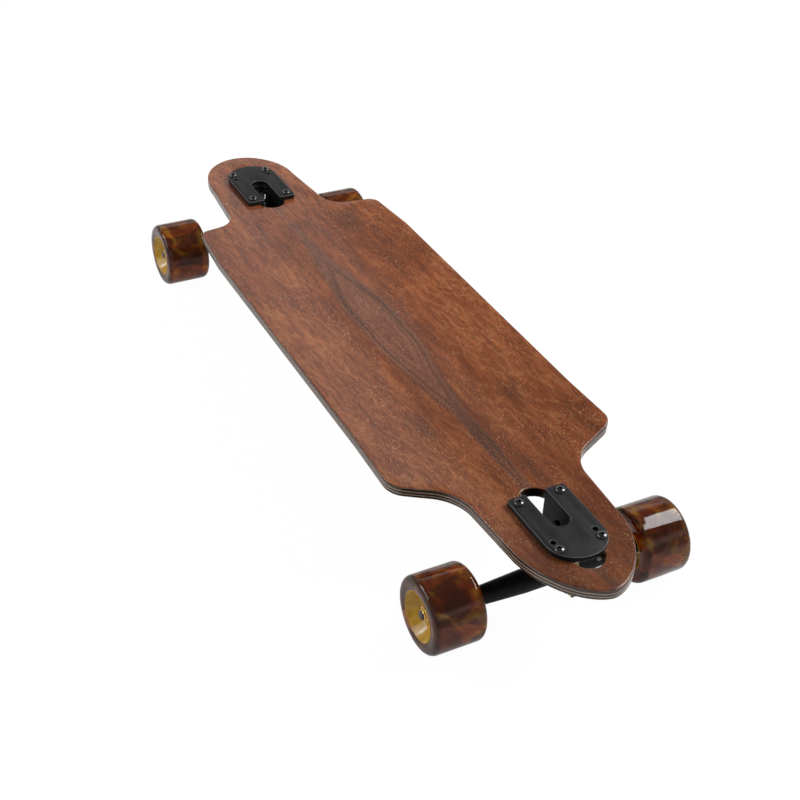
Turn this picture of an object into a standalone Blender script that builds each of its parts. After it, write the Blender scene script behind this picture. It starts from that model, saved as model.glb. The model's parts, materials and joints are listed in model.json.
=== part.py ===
"""A short drop-through cruiser board: pressed deck, two reverse-kingpin trucks and four soft wheels.

Metres, +Z up. The origin is on the ground under the middle of the deck, +X runs to the nose and +Y to
the rider's left. Each truck is drawn in its own frame: +X outboard, +Z up, with the origin on top of the
baseplate's flange at the centre of the bolt pattern. The rear truck is the front one turned half round.
"""
import math

import bmesh
import bpy
from mathutils import Matrix, Vector

# Deck
DECK_LENGTH = 0.826
DECK_HALF_WIDTH = 0.112
DECK_THICKNESS = 0.011
NOSE_SHOULDER_HALF_WIDTH = 0.114
TAIL_SHOULDER_HALF_WIDTH = 0.1065
SHOULDER_FROM_TIP = 0.1755
SHOULDER_TAPER_LENGTH = 0.070
SHOULDER_TO_NECK = 0.021
SHOULDER_RADIUS = 0.017
NECK_HALF_WIDTH = 0.059
NECK_RADIUS = 0.036
NOSE_TONGUE_HALF_WIDTH = 0.0543
NOSE_TONGUE_LENGTH = 0.074
NOSE_TONGUE_POWER = 1.7
TAIL_TONGUE_HALF_WIDTH = 0.0513
TAIL_TONGUE_LENGTH = 0.065
TAIL_TONGUE_POWER = 2.05
RAIL_RISE = 0.0115
FLAT_HALF_WIDTH = 0.030
CONCAVE_POWER = 1.6
DECK_EDGE_CHAMFER = 0.0016

# Truck mounting
BOLT_PATTERN_FROM_TIP = 0.085
BOLT_PATTERN_LENGTH = 0.0635
SHORT_BOLT_PATTERN_LENGTH = 0.054
BOLT_PATTERN_WIDTH = 0.0413
BOLT_DIAMETER = 0.0047
BOLT_HEAD_DIAMETER = 0.0094
BOLT_HEAD_HEIGHT = 0.0024
BOLT_LENGTH = 0.026
LOCK_NUT_ACROSS_FLATS = 0.0095
LOCK_NUT_HEIGHT = 0.0055
LOCK_NUT_CHAMFER = 0.0008

# Baseplate
FLANGE_HALF_WIDTH = 0.0287
FLANGE_THICKNESS = 0.005
FLANGE_INBOARD_REACH = 0.0393
FLANGE_OUTBOARD_REACH = 0.0487
FLANGE_ROUND_LENGTH = 0.0265
FLANGE_CORNER_RADIUS = 0.003
FLANGE_CHAMFER = 0.0008
TOWER_HALF_WIDTH = 0.0135
TOWER_WALL = 0.0037
TOWER_BACK_SLANT = 0.019
TOWER_FRONT_SLANT = 0.010
TOWER_INSET = 0.001
SEAT_THICKNESS = 0.007
SEAT_MARGIN = 0.0075
CHANNEL_MARGIN = 0.0025
FLANGE_SLOT_END = 0.0085
FLANGE_SLOT_DEPTH = 0.0055
SLOT_STEP = 0.0002
DECK_SLOT_CLEARANCE = 0.0015
DECK_SLOT_INBOARD_MARGIN = 0.0114
DECK_SLOT_OUTBOARD_MARGIN = 0.0083

# Steering geometry
STEERING_AXIS_TILT = math.radians(50)
RING_DEPTH = 0.036
AXLE_REACH = 0.0337
AXLE_RAKE = 0.005
AXLE_INSET = 0.0053

# Kingpin stack
KINGPIN_DIAMETER = 0.0095
KINGPIN_ACROSS_FLATS = 0.0143
KINGPIN_HEAD_HEIGHT = 0.006
KINGPIN_NUT_HEIGHT = 0.0078
KINGPIN_THREAD_SHOWN = 0.002
NUT_CHAMFER = 0.0016
THREAD_CHAMFER = 0.0005
RING_HALF_THICKNESS = 0.005
RING_RADIUS = 0.0155
RING_HOLE_RADIUS = 0.0085
BUSHING_RADIUS = 0.0125
BUSHING_WAIST = 0.0008
BUSHING_EDGE = 0.0008
BOARDSIDE_BUSHING_HEIGHT = 0.0135
ROADSIDE_BUSHING_HEIGHT = 0.0145
CONE_END_RADIUS = 0.0100
BUSHING_SEAT_DEPTH = 0.0012
WASHER_THICKNESS = 0.0016
BOARDSIDE_WASHER_RADIUS = 0.0122
ROADSIDE_WASHER_RADIUS = 0.0108

# Hanger and axle
HANGER_WIDTH = 0.180
HANGER_BARREL_RADIUS = 0.0106
HANGER_END_RADIUS = 0.0086
BARREL_HALF_LENGTH = 0.027
BARREL_TAPER_END = 0.065
YOKE_HALF_WIDTH = 0.032
YOKE_EDGE_HALF_WIDTH = 0.0034
YOKE_WAIST_ALONG = 0.0185
YOKE_WAIST_HALF_WIDTH = 0.0163
YOKE_THICKNESS = 0.0076
PIVOT_ROOT_RADIUS = 0.0066
PIVOT_TIP_RADIUS = 0.0050
PIVOT_REACH = 0.0169
CUP_WALL = 0.0028
BOSS_WALL = 0.0025
AXLE_DIAMETER = 0.0079
SPEED_RING_RADIUS = 0.0054
SPEED_RING_THICKNESS = 0.001
AXLE_NUT_ACROSS_FLATS = 0.0127
AXLE_NUT_HEIGHT = 0.0065
AXLE_THREAD_SHOWN = 0.0012

# Wheels
WHEEL_DIAMETER = 0.070
WHEEL_WIDTH = 0.049
TREAD_WIDTH = 0.038
LIP_DIAMETER = 0.060
CREST_DIAMETER = 0.0545
DISH_DIAMETER = 0.0424
DISH_WIDTH = 0.042
CORE_DIAMETER = 0.036
CORE_WIDTH = 0.025
CORE_SHOULDER = 0.0032
BEARING_DIAMETER = 0.022
BEARING_WIDTH = 0.007
BEARING_SPACING = 0.010

# Clearances
GAP = 0.0003
BOLT_CLEARANCE = 0.0004
PIVOT_CLEARANCE = 0.0006
CUT_OVERRUN = 0.010

# Worked out from the sizes above
SHOULDER_FROM_MIDDLE = DECK_LENGTH / 2 - SHOULDER_FROM_TIP
TRUCK_FROM_MIDDLE = DECK_LENGTH / 2 - BOLT_PATTERN_FROM_TIP
TOWER_INBOARD_REACH = FLANGE_INBOARD_REACH - TOWER_INSET
DECK_SLOT_INBOARD_REACH = FLANGE_INBOARD_REACH + DECK_SLOT_INBOARD_MARGIN
DECK_SLOT_OUTBOARD_REACH = FLANGE_OUTBOARD_REACH + DECK_SLOT_OUTBOARD_MARGIN
WHEEL_RADIUS = WHEEL_DIAMETER / 2
TILT_SIN = math.sin(STEERING_AXIS_TILT)
TILT_COS = math.cos(STEERING_AXIS_TILT)
AXLE_DEPTH = RING_DEPTH + AXLE_REACH * TILT_SIN + AXLE_RAKE * TILT_COS
RING_OUTBOARD = AXLE_REACH * TILT_COS - AXLE_RAKE * TILT_SIN - AXLE_INSET
FLANGE_TOP = WHEEL_RADIUS + AXLE_DEPTH
DECK_TOP = FLANGE_TOP - FLANGE_THICKNESS - GAP
BOARDSIDE_STACK = RING_HALF_THICKNESS + BOARDSIDE_BUSHING_HEIGHT + WASHER_THICKNESS + GAP
ROADSIDE_STACK = RING_HALF_THICKNESS + ROADSIDE_BUSHING_HEIGHT + WASHER_THICKNESS + GAP
SEAT_BACK = BOARDSIDE_STACK + SEAT_THICKNESS
CUP_BORE_RADIUS = PIVOT_TIP_RADIUS + PIVOT_CLEARANCE
CUP_RADIUS = CUP_BORE_RADIUS + CUP_WALL
BOSS_RADIUS = CUP_RADIUS + GAP + BOSS_WALL
BOSS_START = AXLE_REACH + HANGER_BARREL_RADIUS + PIVOT_CLEARANCE
PIVOT_END = AXLE_REACH + PIVOT_REACH
CUP_END = PIVOT_END + PIVOT_CLEARANCE + CUP_WALL / 2
BOSS_END = CUP_END + GAP + BOSS_WALL
INNER_BEARING_START = HANGER_WIDTH / 2 + GAP + SPEED_RING_THICKNESS + GAP
WHEEL_CENTRE = INNER_BEARING_START + BEARING_WIDTH + BEARING_SPACING / 2
OUTER_RING_START = WHEEL_CENTRE + BEARING_SPACING / 2 + BEARING_WIDTH + GAP
AXLE_NUT_START = OUTER_RING_START + SPEED_RING_THICKNESS + GAP
AXLE_END = AXLE_NUT_START + AXLE_NUT_HEIGHT + AXLE_THREAD_SHOWN
HEX_CORNER = 1 / math.cos(math.pi / 6)

# Facets
ARC_STEPS = 6
LIP_STEPS = 2
DOME_STEPS = 3
PIN_END_STEPS = 4
CONCAVE_STRIPS = 5
WHEEL_STEPS = 28
HANGER_STEPS = 20
CORE_STEPS = 20
ROUND_STEPS = 16
SMALL_STEPS = 10
HEX_STEPS = 6
MERGE = 0.00001
SHARP_ANGLE = math.radians(35)
CHAMFER_ANGLE = math.radians(60)
FLAT_ANGLE = math.radians(0.5)
YOKE_WRAP_ANGLE = math.radians(85)

for old_object in list(bpy.data.objects):
    bpy.data.objects.remove(old_object, do_unlink=True)

PARTS = bpy.data.collections.new("cruiser_board")
CUTTERS = bpy.data.collections.new("cutters")
bpy.context.scene.collection.children.link(PARTS)
bpy.context.scene.collection.children.link(CUTTERS)


def material(name, colour, roughness, metallic=0.0):
    made = bpy.data.materials.new(name)
    made.use_nodes = True
    shader = made.node_tree.nodes["Principled BSDF"]
    shader.inputs["Base Color"].default_value = (*colour, 1.0)
    shader.inputs["Roughness"].default_value = roughness
    shader.inputs["Metallic"].default_value = metallic
    return made


WALNUT = material("walnut_veneer", (0.22, 0.075, 0.035), 0.32)
BLACK_CAST = material("black_cast_aluminium", (0.022, 0.022, 0.025), 0.42, 0.6)
BLACK_STEEL = material("black_steel", (0.015, 0.015, 0.017), 0.3, 0.7)
STEEL = material("plated_steel", (0.55, 0.53, 0.5), 0.28, 1.0)
BRASS_STEEL = material("gold_plated_steel", (0.72, 0.5, 0.2), 0.3, 1.0)
AMBER_URETHANE = material("amber_urethane", (0.16, 0.045, 0.012), 0.22)
GOLD_PLASTIC = material("gold_plastic", (0.75, 0.48, 0.03), 0.35)
BUSHING_URETHANE = material("bushing_urethane", (0.62, 0.4, 0.12), 0.4)
CUP_PLASTIC = material("cup_plastic", (0.03, 0.03, 0.03), 0.5)


def evaluated_mesh(source):
    """The source object's evaluated mesh, welded; the source object is removed."""
    depsgraph = bpy.context.evaluated_depsgraph_get()
    mesh = bpy.data.meshes.new_from_object(source.evaluated_get(depsgraph))
    work = bmesh.new()
    work.from_mesh(mesh)
    bmesh.ops.remove_doubles(work, verts=work.verts, dist=MERGE)
    work.to_mesh(mesh)
    work.free()
    bpy.data.objects.remove(source, do_unlink=True)
    return mesh


def place(name, mesh, look, parent=None, location=(0, 0, 0), rotation=(0, 0, 0)):
    placed = bpy.data.objects.new(name, mesh)
    PARTS.objects.link(placed)
    placed.parent = parent
    placed.location = location
    placed.rotation_euler = rotation
    mesh.materials.clear()
    mesh.materials.append(look)
    mesh.shade_smooth()
    mesh.set_sharp_from_angle(angle=SHARP_ANGLE)
    return placed


def empty(name, location, turn=0.0, parent=None):
    made = bpy.data.objects.new(name, None)
    PARTS.objects.link(made)
    made.parent = parent
    made.location = location
    made.rotation_euler = (0, 0, turn)
    return made


def guide(mesh):
    """A temporary object in the cutters' collection."""
    made = bpy.data.objects.new("guide", mesh)
    CUTTERS.objects.link(made)
    made.hide_render = True
    made.display_type = "WIRE"
    return made


def turned(profile, steps=ROUND_STEPS):
    """A mesh turned round local Z from (radius, height) points, down the outer side first."""
    mesh = bpy.data.meshes.new("turned")
    points = [(radius, 0, height) for radius, height in profile]
    closed = all(radius > 0 for radius, height in profile)
    edges = [(i, i + 1) for i in range(len(points) - 1)]
    if closed:
        edges.append((len(points) - 1, 0))
    mesh.from_pydata(points, edges, [])
    source = guide(mesh)
    screw = source.modifiers.new("turn", "SCREW")
    screw.steps = steps
    screw.render_steps = steps
    screw.use_merge_vertices = True
    screw.merge_threshold = MERGE
    return evaluated_mesh(source)


def plate(outline, low, high):
    """A flat plate: a closed outline in local X and Y, filled from height low to high."""
    curve = bpy.data.curves.new("outline", "CURVE")
    curve.dimensions = "2D"
    curve.fill_mode = "BOTH"
    curve.extrude = (high - low) / 2
    spline = curve.splines.new("POLY")
    spline.points.add(len(outline) - 1)
    for point, (x, y) in zip(spline.points, outline):
        point.co = (x, y, 0, 1)
    spline.use_cyclic_u = True
    mesh = evaluated_mesh(guide(curve))
    work = bmesh.new()
    work.from_mesh(mesh)
    bmesh.ops.dissolve_limit(work, angle_limit=FLAT_ANGLE, verts=work.verts, edges=work.edges)
    bmesh.ops.recalc_face_normals(work, faces=work.faces)
    work.to_mesh(mesh)
    work.free()
    mesh.transform(Matrix.Translation((0, 0, (low + high) / 2)))
    return mesh


def upright_plate(outline, half_width):
    """A plate drawn in the truck's side view, X and Z, and centred on Y."""
    mesh = plate(outline, -half_width, half_width)
    mesh.transform(Matrix.Rotation(math.pi / 2, 4, "X"))
    return mesh


def chamfered(mesh, width):
    work = bmesh.new()
    work.from_mesh(mesh)
    sharp = [edge for edge in work.edges if edge.calc_face_angle(0) > CHAMFER_ANGLE]
    bmesh.ops.bevel(work, geom=sharp, offset=width, segments=1, affect="EDGES", profile=0.5)
    work.to_mesh(mesh)
    work.free()
    return mesh


def moved(mesh, matrix):
    mesh.transform(matrix)
    return mesh


def cut_and_joined(base, joins=(), cuts=()):
    """The base mesh with the joins united to it and then the cuts taken out."""
    work = guide(base)
    tools = []
    for operation, meshes in (("UNION", joins), ("DIFFERENCE", cuts)):
        for mesh in meshes:
            tool = guide(mesh)
            tools.append(tool)
            step = work.modifiers.new(operation.lower(), "BOOLEAN")
            step.operation = operation
            step.object = tool
    result = evaluated_mesh(work)
    for tool in tools:
        bpy.data.objects.remove(tool, do_unlink=True)
    return result


def cylinder(radius, low, high, steps=ROUND_STEPS):
    return turned([(0, high), (radius, high), (radius, low), (0, low)], steps)


def tube(radius, bore, low, high, steps=ROUND_STEPS):
    return turned([(radius, high), (radius, low), (bore, low), (bore, high)], steps)


def hexagon(across_flats, low, high):
    corner = across_flats / 2 * HEX_CORNER
    return cylinder(corner, low, high, HEX_STEPS)


def hex_nut(across_flats, bore, low, high, chamfer):
    """A nut turned in six steps, its corners chamfered at the top and its bore clear of a round shaft."""
    corner = across_flats / 2 * HEX_CORNER
    bore_corner = bore * HEX_CORNER
    profile = [(corner - chamfer, high), (corner, high - chamfer), (corner, low), (bore_corner, low),
               (bore_corner, high)]
    return turned(profile, HEX_STEPS)


def fillet(before, corner, after, radius, steps=ARC_STEPS):
    """Points of an arc that rounds the corner of a path."""
    before, corner, after = Vector(before), Vector(corner), Vector(after)
    towards_before = (before - corner).normalized()
    towards_after = (after - corner).normalized()
    opening = towards_before.angle(towards_after)
    setback = radius / math.tan(opening / 2)
    middle = (towards_before + towards_after).normalized()
    centre = corner + middle * (radius / math.sin(opening / 2))
    start = corner + towards_before * setback - centre
    end = corner + towards_after * setback - centre
    sweep = start.angle_signed(end)
    points = []
    for step in range(steps + 1):
        turn = Matrix.Rotation(-sweep * step / steps, 2)
        points.append(tuple(centre + turn @ start))
    return points


def deck_quarter(shoulder_half_width, tongue_half_width, tongue_length, tongue_power):
    """The deck's outline from the end of the parallel rail to the tip, in positive X and Y."""
    rail_end = (SHOULDER_FROM_MIDDLE - SHOULDER_TAPER_LENGTH, DECK_HALF_WIDTH)
    shoulder = (SHOULDER_FROM_MIDDLE, shoulder_half_width)
    neck = (SHOULDER_FROM_MIDDLE + SHOULDER_TO_NECK, NECK_HALF_WIDTH)
    tongue = (DECK_LENGTH / 2 - tongue_length, tongue_half_width)
    points = [rail_end]
    points += fillet(rail_end, shoulder, neck, SHOULDER_RADIUS)
    points += fillet(shoulder, neck, tongue, NECK_RADIUS)
    round_steps = 2 * ARC_STEPS
    for step in range(round_steps + 1):
        angle = math.pi / 2 * step / round_steps
        along = tongue_length * math.sin(angle) ** (2 / tongue_power)
        across = tongue_half_width * max(math.cos(angle), 0) ** (2 / tongue_power)
        points.append((tongue[0] + along, across))
    return points


def deck_outline():
    nose = deck_quarter(NOSE_SHOULDER_HALF_WIDTH, NOSE_TONGUE_HALF_WIDTH, NOSE_TONGUE_LENGTH,
                        NOSE_TONGUE_POWER)
    tail = deck_quarter(TAIL_SHOULDER_HALF_WIDTH, TAIL_TONGUE_HALF_WIDTH, TAIL_TONGUE_LENGTH,
                        TAIL_TONGUE_POWER)
    right_nose = [(x, -y) for x, y in nose]
    left_tail = [(-x, y) for x, y in tail]
    right_tail = [(-x, -y) for x, y in tail]
    return nose + right_nose[-2::-1] + right_tail + left_tail[-2::-1]


def slot_outline(low, high, half_width):
    """A slot along X with half-round ends."""
    points = []
    for centre, first in ((high - half_width, -90), (low + half_width, 90)):
        for step in range(2 * ARC_STEPS + 1):
            angle = math.radians(first + 180 * step / (2 * ARC_STEPS))
            points.append((centre + half_width * math.cos(angle), half_width * math.sin(angle)))
    return points


def bolt_places(pattern_length=BOLT_PATTERN_LENGTH):
    half_length = pattern_length / 2
    half_width = BOLT_PATTERN_WIDTH / 2
    return [(x, y) for x in (-half_length, half_length) for y in (half_width, -half_width)]


def concave_lift(across):
    """How far the pressed deck rises at this distance from the centre line."""
    beyond = max(0.0, abs(across) - FLAT_HALF_WIDTH) / (DECK_HALF_WIDTH - FLAT_HALF_WIDTH)
    return RAIL_RISE * beyond ** CONCAVE_POWER


def deck_mesh():
    flat = plate(deck_outline(), -DECK_THICKNESS, 0)
    chamfered(flat, DECK_EDGE_CHAMFER)
    cuts = []
    hole_radius = BOLT_DIAMETER / 2 + BOLT_CLEARANCE
    slot_half_width = TOWER_HALF_WIDTH + DECK_SLOT_CLEARANCE
    for end in (1, -1):
        turn = Matrix.Translation((end * TRUCK_FROM_MIDDLE, 0, 0))
        if end < 0:
            turn = turn @ Matrix.Rotation(math.pi, 4, "Z")
        slot = slot_outline(-DECK_SLOT_INBOARD_REACH, DECK_SLOT_OUTBOARD_REACH, slot_half_width)
        cuts.append(moved(plate(slot, -DECK_THICKNESS - CUT_OVERRUN, CUT_OVERRUN), turn))
        for x, y in bolt_places():
            hole = cylinder(hole_radius, -DECK_THICKNESS - CUT_OVERRUN, CUT_OVERRUN, SMALL_STEPS)
            cuts.append(moved(hole, turn @ Matrix.Translation((x, y, 0))))
    cut_deck = cut_and_joined(flat, cuts=cuts)
    work = bmesh.new()
    work.from_mesh(cut_deck)
    strip_width = (DECK_HALF_WIDTH - FLAT_HALF_WIDTH) / CONCAVE_STRIPS
    for strip in range(CONCAVE_STRIPS):
        for side in (1, -1):
            across = side * (FLAT_HALF_WIDTH + strip * strip_width)
            everything = work.verts[:] + work.edges[:] + work.faces[:]
            bmesh.ops.bisect_plane(work, geom=everything, dist=MERGE, plane_co=(0, across, 0),
                                   plane_no=(0, 1, 0))
    for vert in work.verts:
        vert.co.z += concave_lift(vert.co.y)
    work.to_mesh(cut_deck)
    work.free()
    return cut_deck


def on_steering(along, across):
    """A point of the truck's side view: along runs from the ring centre down the steering axis to the
    pivot, and across runs along the kingpin towards its nut."""
    x = RING_OUTBOARD - TILT_COS * along + TILT_SIN * across
    z = -RING_DEPTH - TILT_SIN * along - TILT_COS * across
    return (x, z)


KINGPIN_TURN = math.pi - STEERING_AXIS_TILT
PIVOT_TURN = KINGPIN_TURN + math.pi / 2
RING_CENTRE = Vector((RING_OUTBOARD, 0, -RING_DEPTH))
AXLE_SIDE_VIEW = on_steering(AXLE_REACH, AXLE_RAKE)
KINGPIN_FRAME = Matrix.Translation(RING_CENTRE) @ Matrix.Rotation(KINGPIN_TURN, 4, "Y")
PIVOT_FRAME = Matrix.Translation(RING_CENTRE) @ Matrix.Rotation(PIVOT_TURN, 4, "Y")


def flange_outline():
    straight_end = FLANGE_OUTBOARD_REACH - FLANGE_ROUND_LENGTH
    inboard = -FLANGE_INBOARD_REACH
    half = FLANGE_HALF_WIDTH
    points = fillet((straight_end, half), (inboard, half), (inboard, -half), FLANGE_CORNER_RADIUS)
    points += fillet((inboard, half), (inboard, -half), (straight_end, -half), FLANGE_CORNER_RADIUS)
    for step in range(2 * ARC_STEPS + 1):
        angle = math.radians(-90 + 180 * step / (2 * ARC_STEPS))
        points.append((straight_end + FLANGE_ROUND_LENGTH * math.cos(angle), half * math.sin(angle)))
    return points


def tower_outline():
    """The side view of the tower below the flange: a wedge from the flange to the pivot boss."""
    seat_top = on_steering(-BUSHING_RADIUS, -BOARDSIDE_STACK)
    boss_back = on_steering(BOSS_END - BOSS_WALL, TOWER_INSET - BOSS_RADIUS)
    inside_flange = -FLANGE_THICKNESS / 2
    return [
        (-TOWER_INBOARD_REACH, inside_flange),
        (-TOWER_INBOARD_REACH, boss_back[1] + TOWER_BACK_SLANT),
        boss_back,
        on_steering(BOSS_END - BOSS_WALL, 0),
        on_steering(BOSS_START + BOSS_WALL, 0),
        on_steering(BOSS_START + BOSS_WALL, TOWER_INSET - BOSS_RADIUS),
        on_steering(BOSS_START, -TOWER_INSET - BOSS_RADIUS),
        on_steering(BUSHING_RADIUS + SEAT_MARGIN, -BOARDSIDE_STACK),
        seat_top,
        (seat_top[0] + TOWER_FRONT_SLANT, inside_flange),
    ]


def channel_outline():
    """The side view of the channel between the tower's two walls, open to the flange's slot and inboard."""
    outside = -TOWER_INBOARD_REACH - CUT_OVERRUN
    inside_flange = -FLANGE_THICKNESS / 2
    tunnel_top = on_steering(-BUSHING_RADIUS, -SEAT_BACK)
    boss_side = on_steering(BOSS_START - BOSS_WALL, -BOSS_RADIUS - TOWER_WALL)
    return [
        (outside, inside_flange),
        (tunnel_top[0], inside_flange),
        tunnel_top,
        on_steering(BUSHING_RADIUS + CHANNEL_MARGIN, -SEAT_BACK),
        boss_side,
        (outside, boss_side[1]),
    ]


def baseplate_mesh():
    flange = chamfered(plate(flange_outline(), -FLANGE_THICKNESS, 0), FLANGE_CHAMFER)
    tower = upright_plate(tower_outline(), TOWER_HALF_WIDTH)
    boss = moved(cylinder(BOSS_RADIUS, BOSS_START, BOSS_END), PIVOT_FRAME)
    channel_half_width = TOWER_HALF_WIDTH - TOWER_WALL
    channel = upright_plate(channel_outline(), channel_half_width)
    slot_start = -FLANGE_INBOARD_REACH - CUT_OVERRUN
    slot = slot_outline(slot_start, FLANGE_SLOT_END, channel_half_width + SLOT_STEP)
    flange_slot = plate(slot, -FLANGE_SLOT_DEPTH, CUT_OVERRUN)
    kingpin_hole = cylinder(KINGPIN_DIAMETER / 2 + GAP, -SEAT_BACK - CUT_OVERRUN, 0, SMALL_STEPS)
    cup_bore = cylinder(CUP_RADIUS + GAP, BOSS_START - CUT_OVERRUN, CUP_END + GAP)
    cuts = [flange_slot, channel, moved(kingpin_hole, KINGPIN_FRAME), moved(cup_bore, PIVOT_FRAME)]
    short_pattern_x = SHORT_BOLT_PATTERN_LENGTH - BOLT_PATTERN_LENGTH / 2
    holes = bolt_places() + [(short_pattern_x, y) for y in (BOLT_PATTERN_WIDTH / 2, -BOLT_PATTERN_WIDTH / 2)]
    for x, y in holes:
        radius = BOLT_DIAMETER / 2 + BOLT_CLEARANCE
        hole = cylinder(radius, -FLANGE_THICKNESS - CUT_OVERRUN, CUT_OVERRUN, SMALL_STEPS)
        cuts.append(moved(hole, Matrix.Translation((x, y, 0))))
    return cut_and_joined(flange, joins=[tower, boss], cuts=cuts)


def pivot_cup_mesh():
    floor = CUP_END - CUP_WALL / 2
    return turned([(0, CUP_END), (CUP_RADIUS, CUP_END), (CUP_RADIUS, BOSS_START),
                   (CUP_BORE_RADIUS, BOSS_START), (CUP_BORE_RADIUS, floor), (0, floor)])


def kingpin_mesh():
    shank = KINGPIN_DIAMETER / 2
    nut_end = ROADSIDE_STACK + GAP + KINGPIN_NUT_HEIGHT + KINGPIN_THREAD_SHOWN
    head_top = -SEAT_BACK - GAP
    shaft = turned([(0, nut_end), (shank - THREAD_CHAMFER, nut_end), (shank, nut_end - THREAD_CHAMFER),
                    (shank, head_top), (0, head_top)], SMALL_STEPS)
    head = hexagon(KINGPIN_ACROSS_FLATS, head_top - KINGPIN_HEAD_HEIGHT, head_top)
    return cut_and_joined(head, joins=[shaft])


def bushing_mesh(near, far, far_radius):
    """A urethane bushing between two heights, its side drawn in a little between the ends."""
    bore = KINGPIN_DIAMETER / 2 + GAP
    middle = (near + far) / 2
    waist = (BUSHING_RADIUS + far_radius) / 2 - BUSHING_WAIST
    return turned([(far_radius - BUSHING_EDGE, far), (far_radius, far - BUSHING_EDGE), (waist, middle),
                   (BUSHING_RADIUS, near + BUSHING_EDGE), (BUSHING_RADIUS - BUSHING_EDGE, near),
                   (bore, near), (bore, far)])


def washer_mesh(radius, low, high):
    return tube(radius, KINGPIN_DIAMETER / 2 + GAP, low, high)


def hanger_mesh():
    """The cast hanger in the truck's frame: ring, yoke, barrel and pivot pin in one piece."""
    seat_radius = BUSHING_RADIUS + GAP + BUSHING_WAIST
    floor = RING_HALF_THICKNESS - BUSHING_SEAT_DEPTH
    face = RING_HALF_THICKNESS
    ring_profile = [(RING_RADIUS, face), (RING_RADIUS, -face), (seat_radius, -face), (seat_radius, -floor),
                    (RING_HOLE_RADIUS, -floor), (RING_HOLE_RADIUS, floor), (seat_radius, floor),
                    (seat_radius, face)]
    ring = moved(turned(ring_profile, HANGER_STEPS), KINGPIN_FRAME)
    half = HANGER_WIDTH / 2
    barrel_profile = [
        (0, half),
        (HANGER_END_RADIUS, half),
        (HANGER_END_RADIUS, BARREL_TAPER_END),
        (HANGER_BARREL_RADIUS, BARREL_HALF_LENGTH),
        (HANGER_BARREL_RADIUS, -BARREL_HALF_LENGTH),
        (HANGER_END_RADIUS, -BARREL_TAPER_END),
        (HANGER_END_RADIUS, -half),
        (0, -half),
    ]
    axle_frame = Matrix.Translation((AXLE_SIDE_VIEW[0], 0, AXLE_SIDE_VIEW[1]))
    axle_frame = axle_frame @ Matrix.Rotation(math.pi / 2, 4, "X")
    barrel = moved(turned(barrel_profile, HANGER_STEPS), axle_frame)
    wrap_radius = (RING_RADIUS + seat_radius) / 2
    yoke_outline = [
        (YOKE_WAIST_ALONG, YOKE_WAIST_HALF_WIDTH),
        (AXLE_REACH - YOKE_EDGE_HALF_WIDTH, YOKE_HALF_WIDTH),
        (AXLE_REACH + YOKE_EDGE_HALF_WIDTH, YOKE_HALF_WIDTH),
        (AXLE_REACH + YOKE_EDGE_HALF_WIDTH, -YOKE_HALF_WIDTH),
        (AXLE_REACH - YOKE_EDGE_HALF_WIDTH, -YOKE_HALF_WIDTH),
        (YOKE_WAIST_ALONG, -YOKE_WAIST_HALF_WIDTH),
    ]
    for step in range(-ARC_STEPS, ARC_STEPS + 1):
        angle = YOKE_WRAP_ANGLE * step / ARC_STEPS
        yoke_outline.append((wrap_radius * math.cos(angle), wrap_radius * math.sin(angle)))
    yoke = plate(yoke_outline, -YOKE_THICKNESS / 2, YOKE_THICKNESS / 2)
    yoke.transform(KINGPIN_FRAME)
    pin_profile = []
    for step in range(PIN_END_STEPS + 1):
        angle = math.pi / 2 * step / PIN_END_STEPS
        height = PIVOT_END - PIVOT_TIP_RADIUS * (1 - math.cos(angle))
        pin_profile.append((PIVOT_TIP_RADIUS * math.sin(angle), height))
    pin_profile.append((PIVOT_TIP_RADIUS, BOSS_START))
    pin_profile += [(PIVOT_ROOT_RADIUS, BOSS_START - PIVOT_CLEARANCE), (PIVOT_ROOT_RADIUS, AXLE_REACH)]
    pin_profile.append((0, AXLE_REACH))
    pin = moved(turned(pin_profile), PIVOT_FRAME)
    bore_reach = half + CUT_OVERRUN
    bore = moved(cylinder(AXLE_DIAMETER / 2 + GAP, -bore_reach, bore_reach, SMALL_STEPS), axle_frame)
    return cut_and_joined(ring, joins=[yoke, barrel, pin], cuts=[bore])


def axle_mesh():
    """The axle with its speed rings and bearing spacers, turned round local Z."""
    rod = AXLE_DIAMETER / 2
    inner_ring = HANGER_WIDTH / 2 + GAP
    spacer_start = INNER_BEARING_START + BEARING_WIDTH + GAP
    spacer_end = spacer_start + BEARING_SPACING - 2 * GAP
    upper = [
        (0, AXLE_END),
        (rod - THREAD_CHAMFER, AXLE_END),
        (rod, AXLE_END - THREAD_CHAMFER),
        (rod, OUTER_RING_START + SPEED_RING_THICKNESS),
        (SPEED_RING_RADIUS, OUTER_RING_START + SPEED_RING_THICKNESS),
        (SPEED_RING_RADIUS, OUTER_RING_START),
        (rod, OUTER_RING_START),
        (rod, spacer_end),
        (SPEED_RING_RADIUS, spacer_end),
        (SPEED_RING_RADIUS, spacer_start),
        (rod, spacer_start),
        (rod, inner_ring + SPEED_RING_THICKNESS),
        (SPEED_RING_RADIUS, inner_ring + SPEED_RING_THICKNESS),
        (SPEED_RING_RADIUS, inner_ring),
        (rod, inner_ring),
    ]
    lower = [(radius, -height) for radius, height in reversed(upper)]
    return turned(upper + lower, SMALL_STEPS)


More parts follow.
